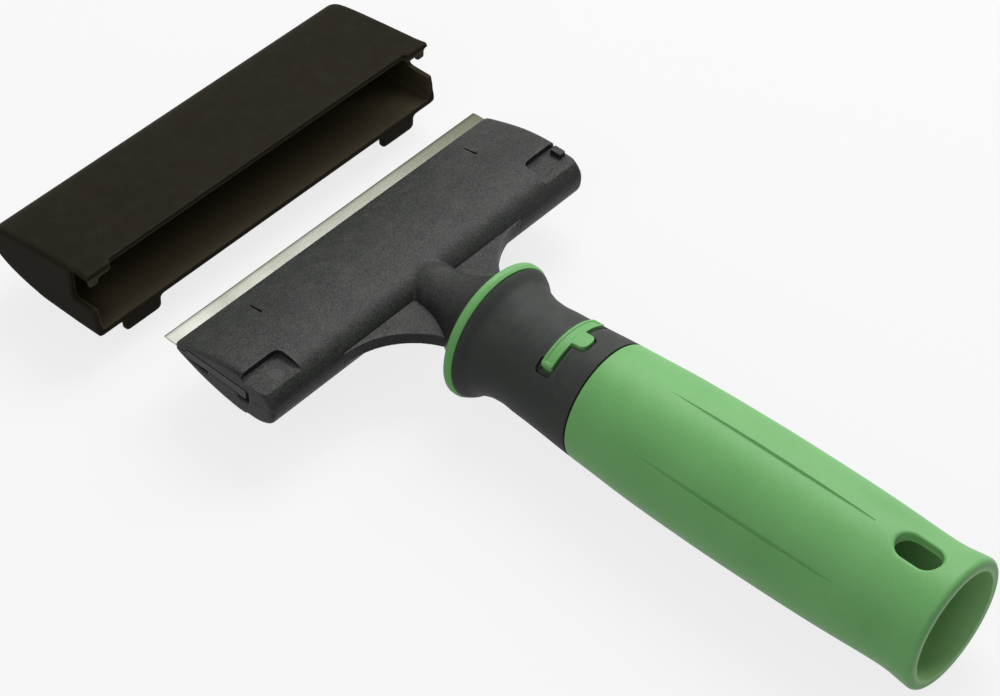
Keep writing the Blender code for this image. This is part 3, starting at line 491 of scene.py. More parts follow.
# %% [markdown]
# ## Cutting a hole with a soft lip in a curved wall
#
# Moulded holes have no sharp rim. Here the cutter itself carries the rim: it is a stack of
# outlines that grow towards the surface, and every outline follows the curve of the handle,
# so the lip is equally round all the way. A Bevel modifier would leave uneven corners here.

# %% Cutter with a lip
LIP_STEPS = 6


def lipped_cutter(name, plan, lip, floor_z):
    """A cutter from floor_z up through the handle's wall; plan(grow) gives its outline."""
    sections = [[(x, y, floor_z) for x, y in plan(0.0)]]
    for k in range(LIP_STEPS, -1, -1):
        depth = lip * k / LIP_STEPS
        outline = plan(lip - math.sqrt(lip**2 - (depth - lip) ** 2))
        sections.append(
            [(x, y, math.sqrt((outer_r(y) - depth) ** 2 - x * x)) for x, y in outline]
        )
    sections.append([(x, y, z + OVERRUN) for x, y, z in sections[-1]])
    return new_piece(name, loft(sections))


# %% [markdown]
# ## The lock hole and the pocket of the button
#
# The oval hole near the mouth lets the sprung nub of an extension pole snap in. Under the
# button the core has a T-shaped pocket with a small hole for the button's stem.

# %% Cut the hole and the pocket
LOCK_HOLE_Y = 10.9 * MM - HANDLE_LENGTH
LOCK_HOLE_LENGTH = 10.4 * MM
LOCK_HOLE_WIDTH = 6.5 * MM
LOCK_LIP = 0.75 * MM
OVAL_STEPS = 24


def oval_plan(grow):
    """Oval outline along the handle; the lip takes its room outside the hole."""
    radius = LOCK_HOLE_WIDTH / 2 + grow
    shift = (LOCK_HOLE_LENGTH - LOCK_HOLE_WIDTH) / 2
    turns = [math.pi * k / OVAL_STEPS for k in range(OVAL_STEPS + 1)]
    return [
        (sign * radius * math.cos(a), LOCK_HOLE_Y + sign * (shift + radius * math.sin(a)))
        for sign in (1.0, -1.0)
        for a in turns
    ]


BUTTON_REACH = 21.2 * MM
BAR_DEPTH = 3.0 * MM
BAR_WIDTH = 17.4 * MM
TAB_WIDTH = 4.4 * MM
TAB_DEPTH = 3.3 * MM
TAB_ROUND = 1.6 * MM
BAR_ROUND = 0.45 * MM
STEM_Y = -23.2 * MM
BUTTON_FLOOR = 8.2 * MM
STEM = (3.8 * MM, 2.6 * MM)


def t_plan(side_room=0.0, front_room=0.0, room=0.0):
    """Outline of the T seen from above, with room around it."""
    half = BAR_WIDTH / 2 + side_room
    tab = TAB_WIDTH / 2 + room
    front = -BUTTON_REACH + front_room
    rear = -BUTTON_REACH - BAR_DEPTH - room
    end = rear - TAB_DEPTH
    plan = [
        (-half, front), (half, front), (half, rear), (tab, rear), (tab, end), (-tab, end),
        (-tab, rear), (-half, rear),
    ]
    small, large = BAR_ROUND, TAB_ROUND
    return rounded(plan, [small, small, small, small / 2, large, large, small / 2, small])


def stem_block(room, low, high):
    half_x, half_y = STEM[0] / 2 + room, STEM[1] / 2 + room
    return block((-half_x, STEM_Y - half_y, low), (half_x, STEM_Y + half_y, high))


combine(
    handle,
    [
        lipped_cutter("lock_hole", oval_plan, LOCK_LIP, SOCKET_END_R / 2),
        along_z(t_plan(GAP, GAP, GAP), BUTTON_FLOOR, FLANGE_R),
        stem_block(GAP, 0.0, BUTTON_FLOOR + OVERRUN),
    ],
)
print("handle faces after cutting:", len(handle.data.polygons))

# %% [markdown]
# ## The soft collar
#
# The collar is rubber moulded over the tube, 1.6 mm thick, flush with ring and grip. Round
# its T-shaped window the rubber has a shallow dent, wider at both ends of the bar, so that
# a finger finds the button without looking.

# %% Make the collar
WINDOW_END_ROOM = 1.1 * MM
WINDOW_FRONT_ROOM = 0.6 * MM
WINDOW_DENT = 0.8 * MM
WINDOW_LIP = 0.3 * MM
WINDOW_FIT = 0.1 * MM
COLLAR_FRONT_ROUND = 0.25 * MM

collar_front = -RING_WIDTH - GAP
outer = outline_between(collar_front, -COLLAR_LENGTH)
inner = outline_between(collar_front, -COLLAR_LENGTH, COLLAR_WALL - GAP)
radii = [COLLAR_FRONT_ROUND] + [0.0] * (len(outer) - 2) + [EDGE_ROUND] + [0.0] * len(inner)
collar = turned("soft_collar", rounded(outer + inner[::-1], radii), FINE_STEPS, closed=True)


def dent_plan(grow):
    return t_plan(WINDOW_END_ROOM + grow, WINDOW_FRONT_ROOM + grow, GAP + grow)


dent = lipped_cutter("dent", dent_plan, WINDOW_LIP, 0.0)
dent_ends = (collar_front - OVERRUN, OVERRUN - COLLAR_LENGTH)
dent_floor = outline_between(*dent_ends, WINDOW_DENT)
dent_floor = [(dent_ends[0], 0.0)] + dent_floor + [(dent_ends[1], 0.0)]
combine(dent, [turned("dent_floor", dent_floor)])
window = along_z(t_plan(WINDOW_FIT, WINDOW_FIT, WINDOW_FIT), 0.0, FLANGE_R)
combine(collar, [dent, window])
print("collar faces:", len(collar.data.polygons))

# %% [markdown]
# ## Rounding a whole moulding at once
#
# A small moulded part has soft edges everywhere, also where two forms meet. A voxel remesh
# turns the sharp solid into an even skin of small faces, and a little smoothing then rounds
# all its edges in one go. The voxel has to be small beside the part's thinnest wall.

# %% Remesh helper
def soft_skin(item, voxel, rounds):
    """Give a closed solid an even skin of small faces with slightly rounded edges."""
    remesh = item.modifiers.new("skin", "REMESH")
    remesh.mode = "VOXEL"
    remesh.voxel_size = voxel
    item.modifiers.new("ease", "SMOOTH").iterations = rounds
    return keep_result(item)


# %% [markdown]
# ## The T-shaped button
#
# Its top follows the collar's curve and stands a little proud of it. A thin raised border
# runs round the bar, as on the real button, and the panel inside it is left bare.

# %% Make the button
BUTTON_PROUD = 0.6 * MM
BUTTON_UNDERSIDE = BUTTON_FLOOR + 1.5 * MM
BORDER = 0.62 * MM
PANEL_SINK = 0.28 * MM
PANEL_ROUND = 0.3 * MM
STEM_OVERLAP = 1.2 * MM
BUTTON_VOXEL = 0.11 * MM


def button_skin(name, proud):
    """A turned solid over the button's whole reach, proud of the handle's outline."""
    front = OVERRUN - BUTTON_REACH
    rear = -BUTTON_REACH - BAR_DEPTH - TAB_DEPTH - OVERRUN
    return turned(name, [(front, 0.0)] + outline_between(front, rear, -proud) + [(rear, 0.0)])


button = new_piece("release_button", along_z(t_plan(), BUTTON_UNDERSIDE, FLANGE_R))
combine(button, [button_skin("skin", BUTTON_PROUD)], "INTERSECT")
half = BAR_WIDTH / 2 - BORDER
low, high = -BUTTON_REACH - BAR_DEPTH + BORDER, -BUTTON_REACH - BORDER
panel = rounded([(-half, low), (half, low), (half, high), (-half, high)], PANEL_ROUND)
panel = new_piece("panel", along_z(panel, BUTTON_UNDERSIDE, FLANGE_R + OVERRUN))
combine(panel, [button_skin("panel_floor", BUTTON_PROUD - PANEL_SINK)])
combine(button, [panel])
stem = stem_block(0.0, BUTTON_FLOOR, BUTTON_UNDERSIDE + STEM_OVERLAP)
combine(button, [stem], "UNION")
soft_skin(button, BUTTON_VOXEL, 3)
print("button faces:", len(button.data.polygons))

# %% [markdown]
# ## The head's two halves
#
# The head is a lens-shaped box whose two halves meet on the blade's plane. The upper half
# is moulded in one with two webs and a flaring neck. Each half's section is drawn once and
# stretched along X, and the corner pockets for the cap's hooks are cut in later.

# %% Draw the head's section
HEAD_LENGTH = 101.0 * MM
HEAD_DEPTH = 30.4 * MM
HEAD_RISE = 5.6 * MM
HEAD_DROP = 6.6 * MM
HEAD_REAR_Y = 17.2 * MM
HEAD_FRONT_Y = HEAD_REAR_Y + HEAD_DEPTH
TOP_SHARES = [
    (0.0, 0.0), (0.008, 0.26), (0.03, 0.48), (0.06, 0.67), (0.105, 0.84), (0.16, 0.94),
    (0.25, 0.99), (0.34, 1.0), (0.43, 0.975), (0.53, 0.91), (0.645, 0.785), (0.765, 0.6),
    (0.885, 0.385), (0.955, 0.25), (0.985, 0.175), (1.0, 0.075),
]
BOTTOM_SHARES = [
    (0.0, 0.0), (0.006, 0.28), (0.02, 0.5), (0.045, 0.67), (0.095, 0.81), (0.17, 0.92),
    (0.27, 0.98), (0.34, 1.0), (0.49, 0.91), (0.61, 0.79), (0.73, 0.63), (0.845, 0.42),
    (0.93, 0.25), (0.975, 0.155), (1.0, 0.075),
]
CARRIER_REAR_Y = HEAD_REAR_Y + 7.9 * MM
CARRIER_FRONT_Y = HEAD_REAR_Y + 26.4 * MM
CARRIER_HALF = 1.1 * MM
CARRIER_BELOW = 0.5 * MM
HOOK_DEPTH = 2.7 * MM
HOOK_DROP = 0.9 * MM
HOOK_ROOM = 1.0 * MM
RELIEF_FRONT = (HEAD_FRONT_Y - 3.8 * MM, HEAD_FRONT_Y - 4.1 * MM)
RELIEF_REAR_Y = HEAD_FRONT_Y - 10.3 * MM
RELIEF_SINK = (0.75 * MM, 1.1 * MM)
LIP_Z = 0.3 * MM
SEAM_Z = -0.2 * MM
HEAD_END_ROUND = 1.1 * MM


def head_curve(side, inward=0.0):
    """Outer curve of the upper (1) or lower (-1) half, from the rear to the nose."""
    shares = TOP_SHARES if side > 0 else BOTTOM_SHARES
    reach = (HEAD_RISE if side > 0 else HEAD_DROP) - inward
    rear, depth = HEAD_REAR_Y + inward, HEAD_DEPTH - 2 * inward
    return eased([(rear + depth * a, side * reach * out) for a, out in shares], 4)


def head_height(side, y):
    """Height of the head's outer curve at y."""
    ys, zs = zip(*head_curve(side))
    return float(np.interp(y, ys, zs))


def half_section(side, inward=0.0):
    """One half of the head: outer curve, lip, carrier channel and seam."""
    roof = (CARRIER_HALF if side > 0 else CARRIER_BELOW) + GAP
    channel_front = CARRIER_FRONT_Y + GAP
    channel_rear = CARRIER_REAR_Y - GAP
    outline = head_curve(side, inward)[1:]
    nose_y = HEAD_FRONT_Y - inward
    outline += [(nose_y, side * LIP_Z)]
    if side < 0:
        hook_floor = CARRIER_BELOW + HOOK_DROP + HOOK_ROOM
        hook_front = CARRIER_REAR_Y + HOOK_DEPTH + GAP
        outline += [
            (RELIEF_FRONT[0], -LIP_Z), (RELIEF_FRONT[1], -LIP_Z - RELIEF_SINK[0]),
            (RELIEF_REAR_Y, -roof - RELIEF_SINK[1]), (RELIEF_REAR_Y, -roof),
            (hook_front, -roof), (hook_front, -hook_floor), (channel_rear, -hook_floor),
        ]
    else:
        outline += [(channel_front, LIP_Z), (channel_front, roof), (channel_rear, roof)]
    return outline + [(channel_rear, side * SEAM_Z), (HEAD_REAR_Y + inward, side * SEAM_Z)]


def head_bar(side):
    """One half as a bar along X with rounded ends."""
    return rounded_bar(lambda inward: half_section(side, inward), HEAD_LENGTH / 2, HEAD_END_ROUND)


print("head section:", len(half_section(1.0)), "and", len(half_section(-1.0)), "points")

# %% [markdown]
# ## Pockets, webs and neck
#
# The pockets are plain blocks with one rounded corner. The webs are one flat plate with a
# concave arc on each side, and the neck is turned like the handle.

# %% Pockets, webs and neck
POCKET_WIDTH = 11.0 * MM
POCKET_DEPTH = 9.4 * MM
POCKET_SINK = 1.6 * MM
POCKET_ROUND = 1.8 * MM
POCKET_VOXEL = 0.22 * MM
LOWER_POCKET_DEPTH = 9.0 * MM
LOWER_POCKET_SINK = 1.3 * MM
WEB_THICKNESS = 3.3 * MM
WEB_ARC_R = 20.0 * MM
WEB_REACH = 28.8 * MM
WEB_ROOT = 1.9 * MM
WEB_START = 0.6 * MM
WEB_STEPS = 40
NECK_R = 6.4 * MM
NECK_FLARE_R = 13.4 * MM
NECK_NOSE_R = 4.6 * MM
NECK_NOSE = 7.0 * MM
NECK_SHARES = [
    (1.0, 0.0), (0.9, 0.02), (0.77, 0.06), (0.59, 0.18), (0.43, 0.36), (0.28, 0.56),
    (0.16, 0.76), (0.06, 0.93), (0.0, 1.0),
]


def cut_pockets(item, side):
    """Cut both corner pockets of a half; fine faces let their floors carry wear."""
    inner, outer = HEAD_LENGTH / 2 - POCKET_WIDTH, HEAD_LENGTH / 2 + OVERRUN
    if side > 0:
        depth, low, high = POCKET_DEPTH, HEAD_RISE - POCKET_SINK, HEAD_RISE + OVERRUN
    else:
        depth, low, high = LOWER_POCKET_DEPTH, -HEAD_DROP - OVERRUN, -HEAD_DROP + LOWER_POCKET_SINK
    rear, front = HEAD_REAR_Y - OVERRUN, HEAD_REAR_Y + depth
    plan = [(inner, rear), (inner, front), (outer, front), (outer, rear)]
    plan = rounded(plan, [0, POCKET_ROUND, 0, 0])
    for sign in (-1.0, 1.0):
        cutter = new_piece("pocket", along_z([(sign * x, y) for x, y in plan], low, high))
        combine(item, [soft_skin(cutter, POCKET_VOXEL, 1)])


def web_plate():
    """Plan of both webs: concave arcs from the head's rear face to the neck."""
    centre_y = HEAD_REAR_Y - WEB_ARC_R
    last = math.asin((WEB_START - centre_y) / WEB_ARC_R)
    right = [(WEB_REACH, HEAD_REAR_Y + WEB_ROOT)]
    for k in range(WEB_STEPS + 1):
        a = math.pi / 2 + (last - math.pi / 2) * k / WEB_STEPS
        right.append((WEB_REACH - WEB_ARC_R * math.cos(a), centre_y + WEB_ARC_R * math.sin(a)))
    plan = right + [(-x, y) for x, y in reversed(right)]
    return along_z(plan, -WEB_THICKNESS / 2, WEB_THICKNESS / 2)


def neck_outline(extra=0.0):
    """Neck from its nose inside the head back to the flare at the handle."""
    nose_y = HEAD_REAR_Y + NECK_NOSE
    flare = [
        (GAP + (HEAD_REAR_Y - GAP) * along, NECK_R + (NECK_FLARE_R - NECK_R) * out + extra)
        for along, out in NECK_SHARES
    ]
    return [(nose_y + extra, 0.0), (nose_y + extra, NECK_NOSE_R + extra)] + eased(flare)


# %% [markdown]
# ## The upper half with webs, neck and spigot
#
# The bar and the neck are joined first and get their soft skin together. Where they meet the
# skin is smoothed further, so the neck flows into the head as a real moulding does. Webs,
# pockets, rib and marks come after the skin, because their edges have to stay crisp. What is
# hidden in the handle, the hollow spigot with its slot, needs no soft edges.

# %% Make the upper half
HEAD_VOXEL = 0.34 * MM
WEB_VOXEL = 0.3 * MM
MARK_LENGTH = 4.7 * MM
MARK_WIDTHS = (0.3 * MM, 0.75 * MM)
MARK_SLANT = -0.55 * MM
MARK_ROUND_SHARES = (0.6, 0.9)
MARK_SINK = 0.5 * MM
MARK_X = (17.9 * MM - HEAD_LENGTH / 2, HEAD_LENGTH / 2 - 13.5 * MM)
MARK_FRONT_Y = HEAD_FRONT_Y - 5.2 * MM
RIB_WIDTH = 2.0 * MM
RIB_DEPTH = 3.2 * MM
RIB_SETBACK = 0.9 * MM
RIB_END_ROOM = 0.35 * MM
EJECTOR_R = 1.6 * MM
EJECTOR_SINK = 0.08 * MM
EJECTOR_END_ROOM = 6.5 * MM
EJECTOR_SETBACK = 5.4 * MM
SPIGOT_R = 6.7 * MM
SPIGOT_BORE_R = 4.8 * MM
SPIGOT_START_Y = 2.0 * MM
SPIGOT_REAR_Y = -33.0 * MM
SPIGOT_CORE_REACH = 13.0 * MM
FINGER_SLOT = (2.8 * MM, -29.6 * MM, -12.5 * MM)
NECK_BLEND_AT = (0.0, HEAD_REAR_Y + 1.8 * MM, 6.2 * MM)
NECK_BLEND_REACH = (7.5 * MM, 5.5 * MM, 3.2 * MM)
NECK_BLEND_ROUNDS = 30
INNER_STEPS = 96
BORE_STEPS = 90


def vectors(layer, key):
    """The coordinates or normals of a mesh layer as rows of an array."""
    values = np.empty(len(layer) * 3)
    layer.foreach_get(key, values)
    return values.reshape(-1, 3)


def edge_net(mesh):
    """The two ends of every edge, and a function for the mean over a point's neighbours."""
    pairs = np.empty(len(mesh.edges) * 2, np.int64)
    mesh.edges.foreach_get("vertices", pairs)
    a, b = pairs[::2], pairs[1::2]
    count = len(mesh.vertices)
    number = np.maximum(np.bincount(a, minlength=count) + np.bincount(b, minlength=count), 1)

    def mean(at_a, at_b):
        return (np.bincount(a, at_b, count) + np.bincount(b, at_a, count)) / number

    def middle(co):
        return np.stack([mean(co[a, k], co[b, k]) for k in range(3)], axis=1)

    return a, b, mean, middle


def soften(item, inside, rounds):
    """Smooth only the part of a fine skin for which inside(points) is above zero."""
    co = vectors(item.data.vertices, "co")
    middle = edge_net(item.data)[3]
    weight = np.clip(inside(co), 0.0, 1.0)[:, None] * 0.5
    for _ in range(rounds):
        co += (middle(co) - co) * weight
    item.data.vertices.foreach_set("co", co.ravel())
    item.data.update()


def near_neck(co):
    """Strongest where the neck runs into the head's crest, nothing elsewhere."""
    return 1.0 - np.linalg.norm((co - NECK_BLEND_AT) / NECK_BLEND_REACH, axis=1) ** 2


def plug(name, front, rear, radius, steps):
    """A plain turned plug."""
    return turned(name, [(front, 0.0), (front, radius), (rear, radius), (rear, 0.0)], steps)


head = new_piece("head_shell", head_bar(1.0))
combine(head, [turned("neck", neck_outline() + [(GAP, 0.0)], INNER_STEPS)], "UNION")
soft_skin(head, HEAD_VOXEL, 2)
soften(head, near_neck, NECK_BLEND_ROUNDS)
combine(head, [soft_skin(new_piece("web", web_plate()), WEB_VOXEL, 2)], "UNION")
cut_pockets(head, 1.0)
pocket_floor = HEAD_RISE - POCKET_SINK
rib_end = HEAD_LENGTH / 2 - RIB_END_ROOM
rib_front = HEAD_REAR_Y + POCKET_DEPTH - RIB_SETBACK
rib_corner = (rib_end - RIB_WIDTH, rib_front - RIB_DEPTH, pocket_floor - GAP)
rib = new_piece("pocket_rib", block(rib_corner, (rib_end, rib_front, HEAD_RISE - GAP)))
combine(head, [soft_skin(rib, POCKET_VOXEL, 5)], "UNION")

mark_low = head_height(1.0, MARK_FRONT_Y) - MARK_SINK
narrow, wide = (width / 2 for width in MARK_WIDTHS)
wide_round, narrow_round = wide * MARK_ROUND_SHARES[0], narrow * MARK_ROUND_SHARES[1]
cutters = []
for x in MARK_X:
    rear_x, rear_y = x + MARK_SLANT, MARK_FRONT_Y - MARK_LENGTH
    plan = [(rear_x - wide, rear_y), (rear_x + wide, rear_y)]
    plan += [(x + narrow, MARK_FRONT_Y), (x - narrow, MARK_FRONT_Y)]
    plan = rounded(plan, [wide_round, wide_round, narrow_round, narrow_round])
    cutters.append(along_z(plan, mark_low, HEAD_RISE + OVERRUN))
ejector_x, ejector_y = EJECTOR_END_ROOM - HEAD_LENGTH / 2, HEAD_REAR_Y + EJECTOR_SETBACK
disc = round_plan((ejector_x, ejector_y), EJECTOR_R)
combine(head, cutters + [along_z(disc, pocket_floor - EJECTOR_SINK, pocket_floor + OVERRUN)])

spigot = plug("spigot", SPIGOT_START_Y, SPIGOT_REAR_Y, SPIGOT_R, INNER_STEPS)
combine(head, [spigot], "UNION")
bore_rear = SPIGOT_REAR_Y - OVERRUN
combine(head, [plug("bore", SPIGOT_CORE_REACH, bore_rear, SPIGOT_BORE_R, BORE_STEPS)])
slot_half, slot_rear, slot_front = FINGER_SLOT
slot_top = SPIGOT_R + OVERRUN
combine(head, [block((-slot_half, slot_rear, 0.0), (slot_half, slot_front, slot_top))])
print("upper half faces:", len(head.data.polygons))

# %% [markdown]
# ## The lower half
#
# The lower half is screwed on from below. It has shallower pockets, a notch for the neck
# and four counterbored screw holes.

# %% Make the lower half
ROOT_FIT = 0.05 * MM
SCREW_SETBACK = 4.2 * MM
SCREW_REACH = (16.0 * MM, HEAD_LENGTH / 2 - 16.5 * MM)
SCREW_HEAD_R = 2.1 * MM
SCREW_HEAD_HEIGHT = 1.5 * MM
SCREW_RECESS = 1.1 * MM
SCREW_SHANK_R = 1.0 * MM
SCREW_LENGTH = 6.4 * MM
SCREW_Y = HEAD_REAR_Y + SCREW_SETBACK
SCREW_SEAT_Z = head_height(-1.0, SCREW_Y) + SCREW_RECESS + SCREW_HEAD_HEIGHT
SCREW_PLACES = [(sign * reach, SCREW_Y) for reach in SCREW_REACH for sign in (-1.0, 1.0)]


def screw_cutters():
    """Clearance for head and shank of each screw."""
    for spot in SCREW_PLACES:
        for radius, low, high in (
            (SCREW_HEAD_R, -HEAD_DROP - OVERRUN, SCREW_SEAT_Z),
            (SCREW_SHANK_R, SCREW_SEAT_Z - GAP, SCREW_SEAT_Z + SCREW_LENGTH),
        ):
            yield along_z(round_plan(spot, radius + GAP), low, high)


underside = new_piece("head_underside", head_bar(-1.0))
soft_skin(underside, HEAD_VOXEL, 2)
cut_pockets(underside, -1.0)
neck_r, room_rear = NECK_R + ROOT_FIT, HEAD_REAR_Y - OVERRUN
neck_room = neck_outline(ROOT_FIT) + [(room_rear, neck_r), (room_rear, 0.0)]
neck_room = [(y, r) for y, r in neck_room if y >= HEAD_REAR_Y or r in (0.0, neck_r)]
combine(underside, [turned("neck_room", neck_room, INNER_STEPS)])
reach = WEB_REACH + ROOT_FIT
web_low = -WEB_THICKNESS / 2 - ROOT_FIT
web_room = block((-reach, room_rear, web_low), (reach, HEAD_REAR_Y + WEB_ROOT + GAP, OVERRUN))
combine(underside, [web_room])
for half_head in (underside, head):
    combine(half_head, screw_cutters())
    weld(half_head)
print("lower half faces:", len(underside.data.polygons))

# %% [markdown]
# ## Blade and carrier
#
# The blade is a strip of steel, ground from both sides. The carrier is a grey strip with a
# slot for the blade's back and two studs that go through the blade. Only the carrier's two
# ends show, in the head's end faces.

# %% Make blade and carrier
BLADE_LENGTH = 100.0 * MM
BLADE_EDGE_Y = HEAD_FRONT_Y + 3.6 * MM
BLADE_BACK_Y = BLADE_EDGE_Y - 20.4 * MM
BLADE_HALF = 0.25 * MM
BLADE_BEVEL = 1.1 * MM
HONE = 0.28 * MM
HONE_HALF = 0.1 * MM
EDGE_HALF = 0.04 * MM
STUD_X = 32.0 * MM
STUD_Y = CARRIER_FRONT_Y - 6.5 * MM
STUD_R = 1.8 * MM
BLADE_CLEARANCE = 0.2 * MM
CARRIER_CHAMFER = 0.4 * MM
CARRIER_SLOT = 0.3 * MM
CARRIER_FIT = 0.1 * MM
END_HOOK_DROP = 0.45 * MM
CARRIER_REAR_ROOM = 0.35 * MM
SLOT_PLUG_HALF = LIP_Z - 0.02 * MM

side = [
    (BLADE_BACK_Y, BLADE_HALF), (BLADE_EDGE_Y - BLADE_BEVEL, BLADE_HALF),
    (BLADE_EDGE_Y - HONE, HONE_HALF), (BLADE_EDGE_Y, EDGE_HALF),
]
section = side + [(y, -z) for y, z in reversed(side)]
blade = new_piece("blade_strip", along_x(section, -BLADE_LENGTH / 2, BLADE_LENGTH / 2))
hole_r = STUD_R + BLADE_CLEARANCE
combine(blade, [
    along_z(round_plan((x, STUD_Y), hole_r), -OVERRUN, OVERRUN) for x in (-STUD_X, STUD_X)
])

slot_rear = BLADE_BACK_Y - BLADE_CLEARANCE
strip_top = CARRIER_HALF + GAP - CARRIER_FIT
strip_low = CARRIER_FIT - CARRIER_BELOW - GAP
strip_front = CARRIER_FRONT_Y + GAP - CARRIER_FIT
hook_low = strip_low - END_HOOK_DROP
hook_front = CARRIER_REAR_Y + HOOK_DEPTH
strip_rear = CARRIER_REAR_Y + CARRIER_REAR_ROOM
section = [
    (strip_rear, strip_top), (strip_front, strip_top), (strip_front, CARRIER_SLOT),
    (slot_rear, CARRIER_SLOT), (slot_rear, -CARRIER_SLOT), (strip_front, -CARRIER_SLOT),
    (strip_front, strip_low), (hook_front, strip_low), (hook_front, hook_low),
    (strip_rear, hook_low),
]
cut = CARRIER_CHAMFER
section = rounded(section, [cut, cut, 0, 0, 0, 0, 0, 0, cut, cut])
carrier = new_piece("carrier_strip", along_x(section, -HEAD_LENGTH / 2, HEAD_LENGTH / 2))
wall_low, wall_high = (strip_low - CARRIER_SLOT) / 2, (strip_top + CARRIER_SLOT) / 2
slot_end = BLADE_LENGTH / 2 + BLADE_CLEARANCE
ends = [(sign * slot_end, sign * HEAD_LENGTH / 2) for sign in (-1.0, 1.0)]
end_rear, plug_rear = strip_rear + cut, CARRIER_FRONT_Y - OVERRUN
plug_front = HEAD_FRONT_Y - HEAD_END_ROUND
fillings = [
    block((inside, end_rear, wall_low), (outside, CARRIER_FRONT_Y, wall_high))
    for inside, outside in ends
]
fillings += [
    block((inside, plug_rear, -SLOT_PLUG_HALF), (outside, plug_front, SLOT_PLUG_HALF))
    for inside, outside in ends
]
fillings += [
    along_z(round_plan((x, STUD_Y), STUD_R), wall_low, wall_high) for x in (-STUD_X, STUD_X)
]
combine(carrier, fillings, "UNION")
print("blade and carrier faces:", len(blade.data.polygons), len(carrier.data.polygons))

# %% [markdown]
# ## Four screws from one rule
#
# The screws are alike, so a tree draws one of them from its sizes, cuts the cross recess
# with a Mesh Boolean node and places it on four points. If the real screw were larger, one
# number would change all four.

# %% Draw the screws
CROSS_WIDTH = 0.55 * MM
CROSS_LENGTH = 2.5 * MM
CROSS_DEPTH = 0.8 * MM
DOME_SHARE = 0.78
SCREW_STEPS = 32

screw_sizes = {
    "Head Radius": SCREW_HEAD_R, "Head Height": SCREW_HEAD_HEIGHT,
    "Shank Radius": SCREW_SHANK_R, "Shank Length": SCREW_LENGTH,
    "Cross Width": CROSS_WIDTH, "Cross Length": CROSS_LENGTH, "Cross Depth": CROSS_DEPTH,
}
screw, size = geometry_nodes("cross_head_screws", screw_sizes, "Float")


def times(label, factor):
    return screw.calc("MULTIPLY", size[label], factor)


def raised(geometry, height):
    offset = screw.put("ShaderNodeCombineXYZ", {"Z": height})[0]
    wires = {"Geometry": geometry["Mesh"], "Translation": offset}
    return screw.put("GeometryNodeTransform", wires)[0]


def rod(radius, depth):
    wires = {"Vertices": SCREW_STEPS, "Radius": radius, "Depth": depth}
    return screw.put("GeometryNodeMeshCylinder", wires)


half_height, top = times("Head Height", 0.5), times("Head Height", -1.0)
dome = screw.put("GeometryNodeMeshCone", {
    "Vertices": SCREW_STEPS, "Depth": half_height, "Radius Top": size["Head Radius"],
    "Radius Bottom": times("Head Radius", DOME_SHARE),
})
solids = [
    raised(rod(size["Head Radius"], half_height), times("Head Height", -0.25)),
    raised(dome, top),
    raised(rod(size["Shank Radius"], size["Shank Length"]), times("Shank Length", 0.5)),
]
bars = []
for x, y in (("Cross Length", "Cross Width"), ("Cross Width", "Cross Length")):
    sides = {"X": size[x], "Y": size[y], "Z": times("Cross Depth", 2.0)}
    extent = screw.put("ShaderNodeCombineXYZ", sides)[0]
    bars.append(raised(screw.put("GeometryNodeMeshCube", {"Size": extent}), top))
boolean = "GeometryNodeMeshBoolean"
solid = screw.put(boolean, {"Mesh 2": solids}, operation="UNION", solver="EXACT")[0]
wires = {"Mesh 1": solid, "Mesh 2": bars}
recessed = screw.put(boolean, wires, operation="DIFFERENCE", solver="EXACT")[0]
wires = {"Points": size["Geometry"], "Instance": recessed}
end_nodes(screw, size, screw.put("GeometryNodeInstanceOnPoints", wires)[0])

spots = bmesh.new()
for x, y in SCREW_PLACES:
    spots.verts.new((x, y, SCREW_SEAT_Z - GAP))
screws = run_nodes(new_piece("base_screws", spots), screw, screw_sizes)
print("screw faces:", len(screws.data.polygons))

# %% [markdown]
# ## The blade cap
#
# The cap is a wedge-shaped sheath with thin walls, open at the rear. A hooked tongue at
# each end of its top drops into the head's pockets, and two lugs below take the thumbs. Its
# section is drawn at the cap's rest place, in front of the blade, as in the photograph.

# %% Make the cap
CAP_LENGTH = 109.4 * MM
CAP_DEPTH = 36.0 * MM
CAP_RISE = 8.7 * MM
CAP_DROP = 9.0 * MM
CAP_WALL = 1.5 * MM
CAP_REAR_Y = HEAD_REAR_Y + 50.5 * MM
CAP_TOP_SETBACK = 2.3 * MM
CAP_EDGE_STEP = 1.0 * MM
CAP_VOXEL = 0.46 * MM
CAP_TOP_SHARES = [
    (0.0, 1.0), (0.33, 0.84), (0.55, 0.73), (0.76, 0.61), (0.89, 0.49), (0.96, 0.31),
    (1.0, 0.07),
]
CAP_BOTTOM_SHARES = [
    (1.0, 0.07), (0.97, 0.33), (0.9, 0.57), (0.78, 0.78), (0.64, 0.92), (0.5, 1.0),
    (0.25, 1.0), (0.0, 0.97),
]
CAP_END_ROUND = 1.2 * MM
SLOT_LENGTH = 8.0 * MM
SLOT_HEIGHT = 8.4 * MM
TONGUE_WIDTH = 6.0 * MM
TONGUE_REACH = 1.1 * MM
TONGUE_DROP = 1.25 * MM
TONGUE_TIP_DROP = 2.7 * MM
TONGUE_DEPTH = 1.6 * MM
TONGUE_TIP_X = HEAD_LENGTH / 2 + 0.6 * MM
LUG_WIDTH = 11.0 * MM
LUG_END_ROOM = 7.6 * MM
LUG_DROP = 3.4 * MM
LUG_THICKNESS = 1.6 * MM
LUG_ROUND = 1.4 * MM


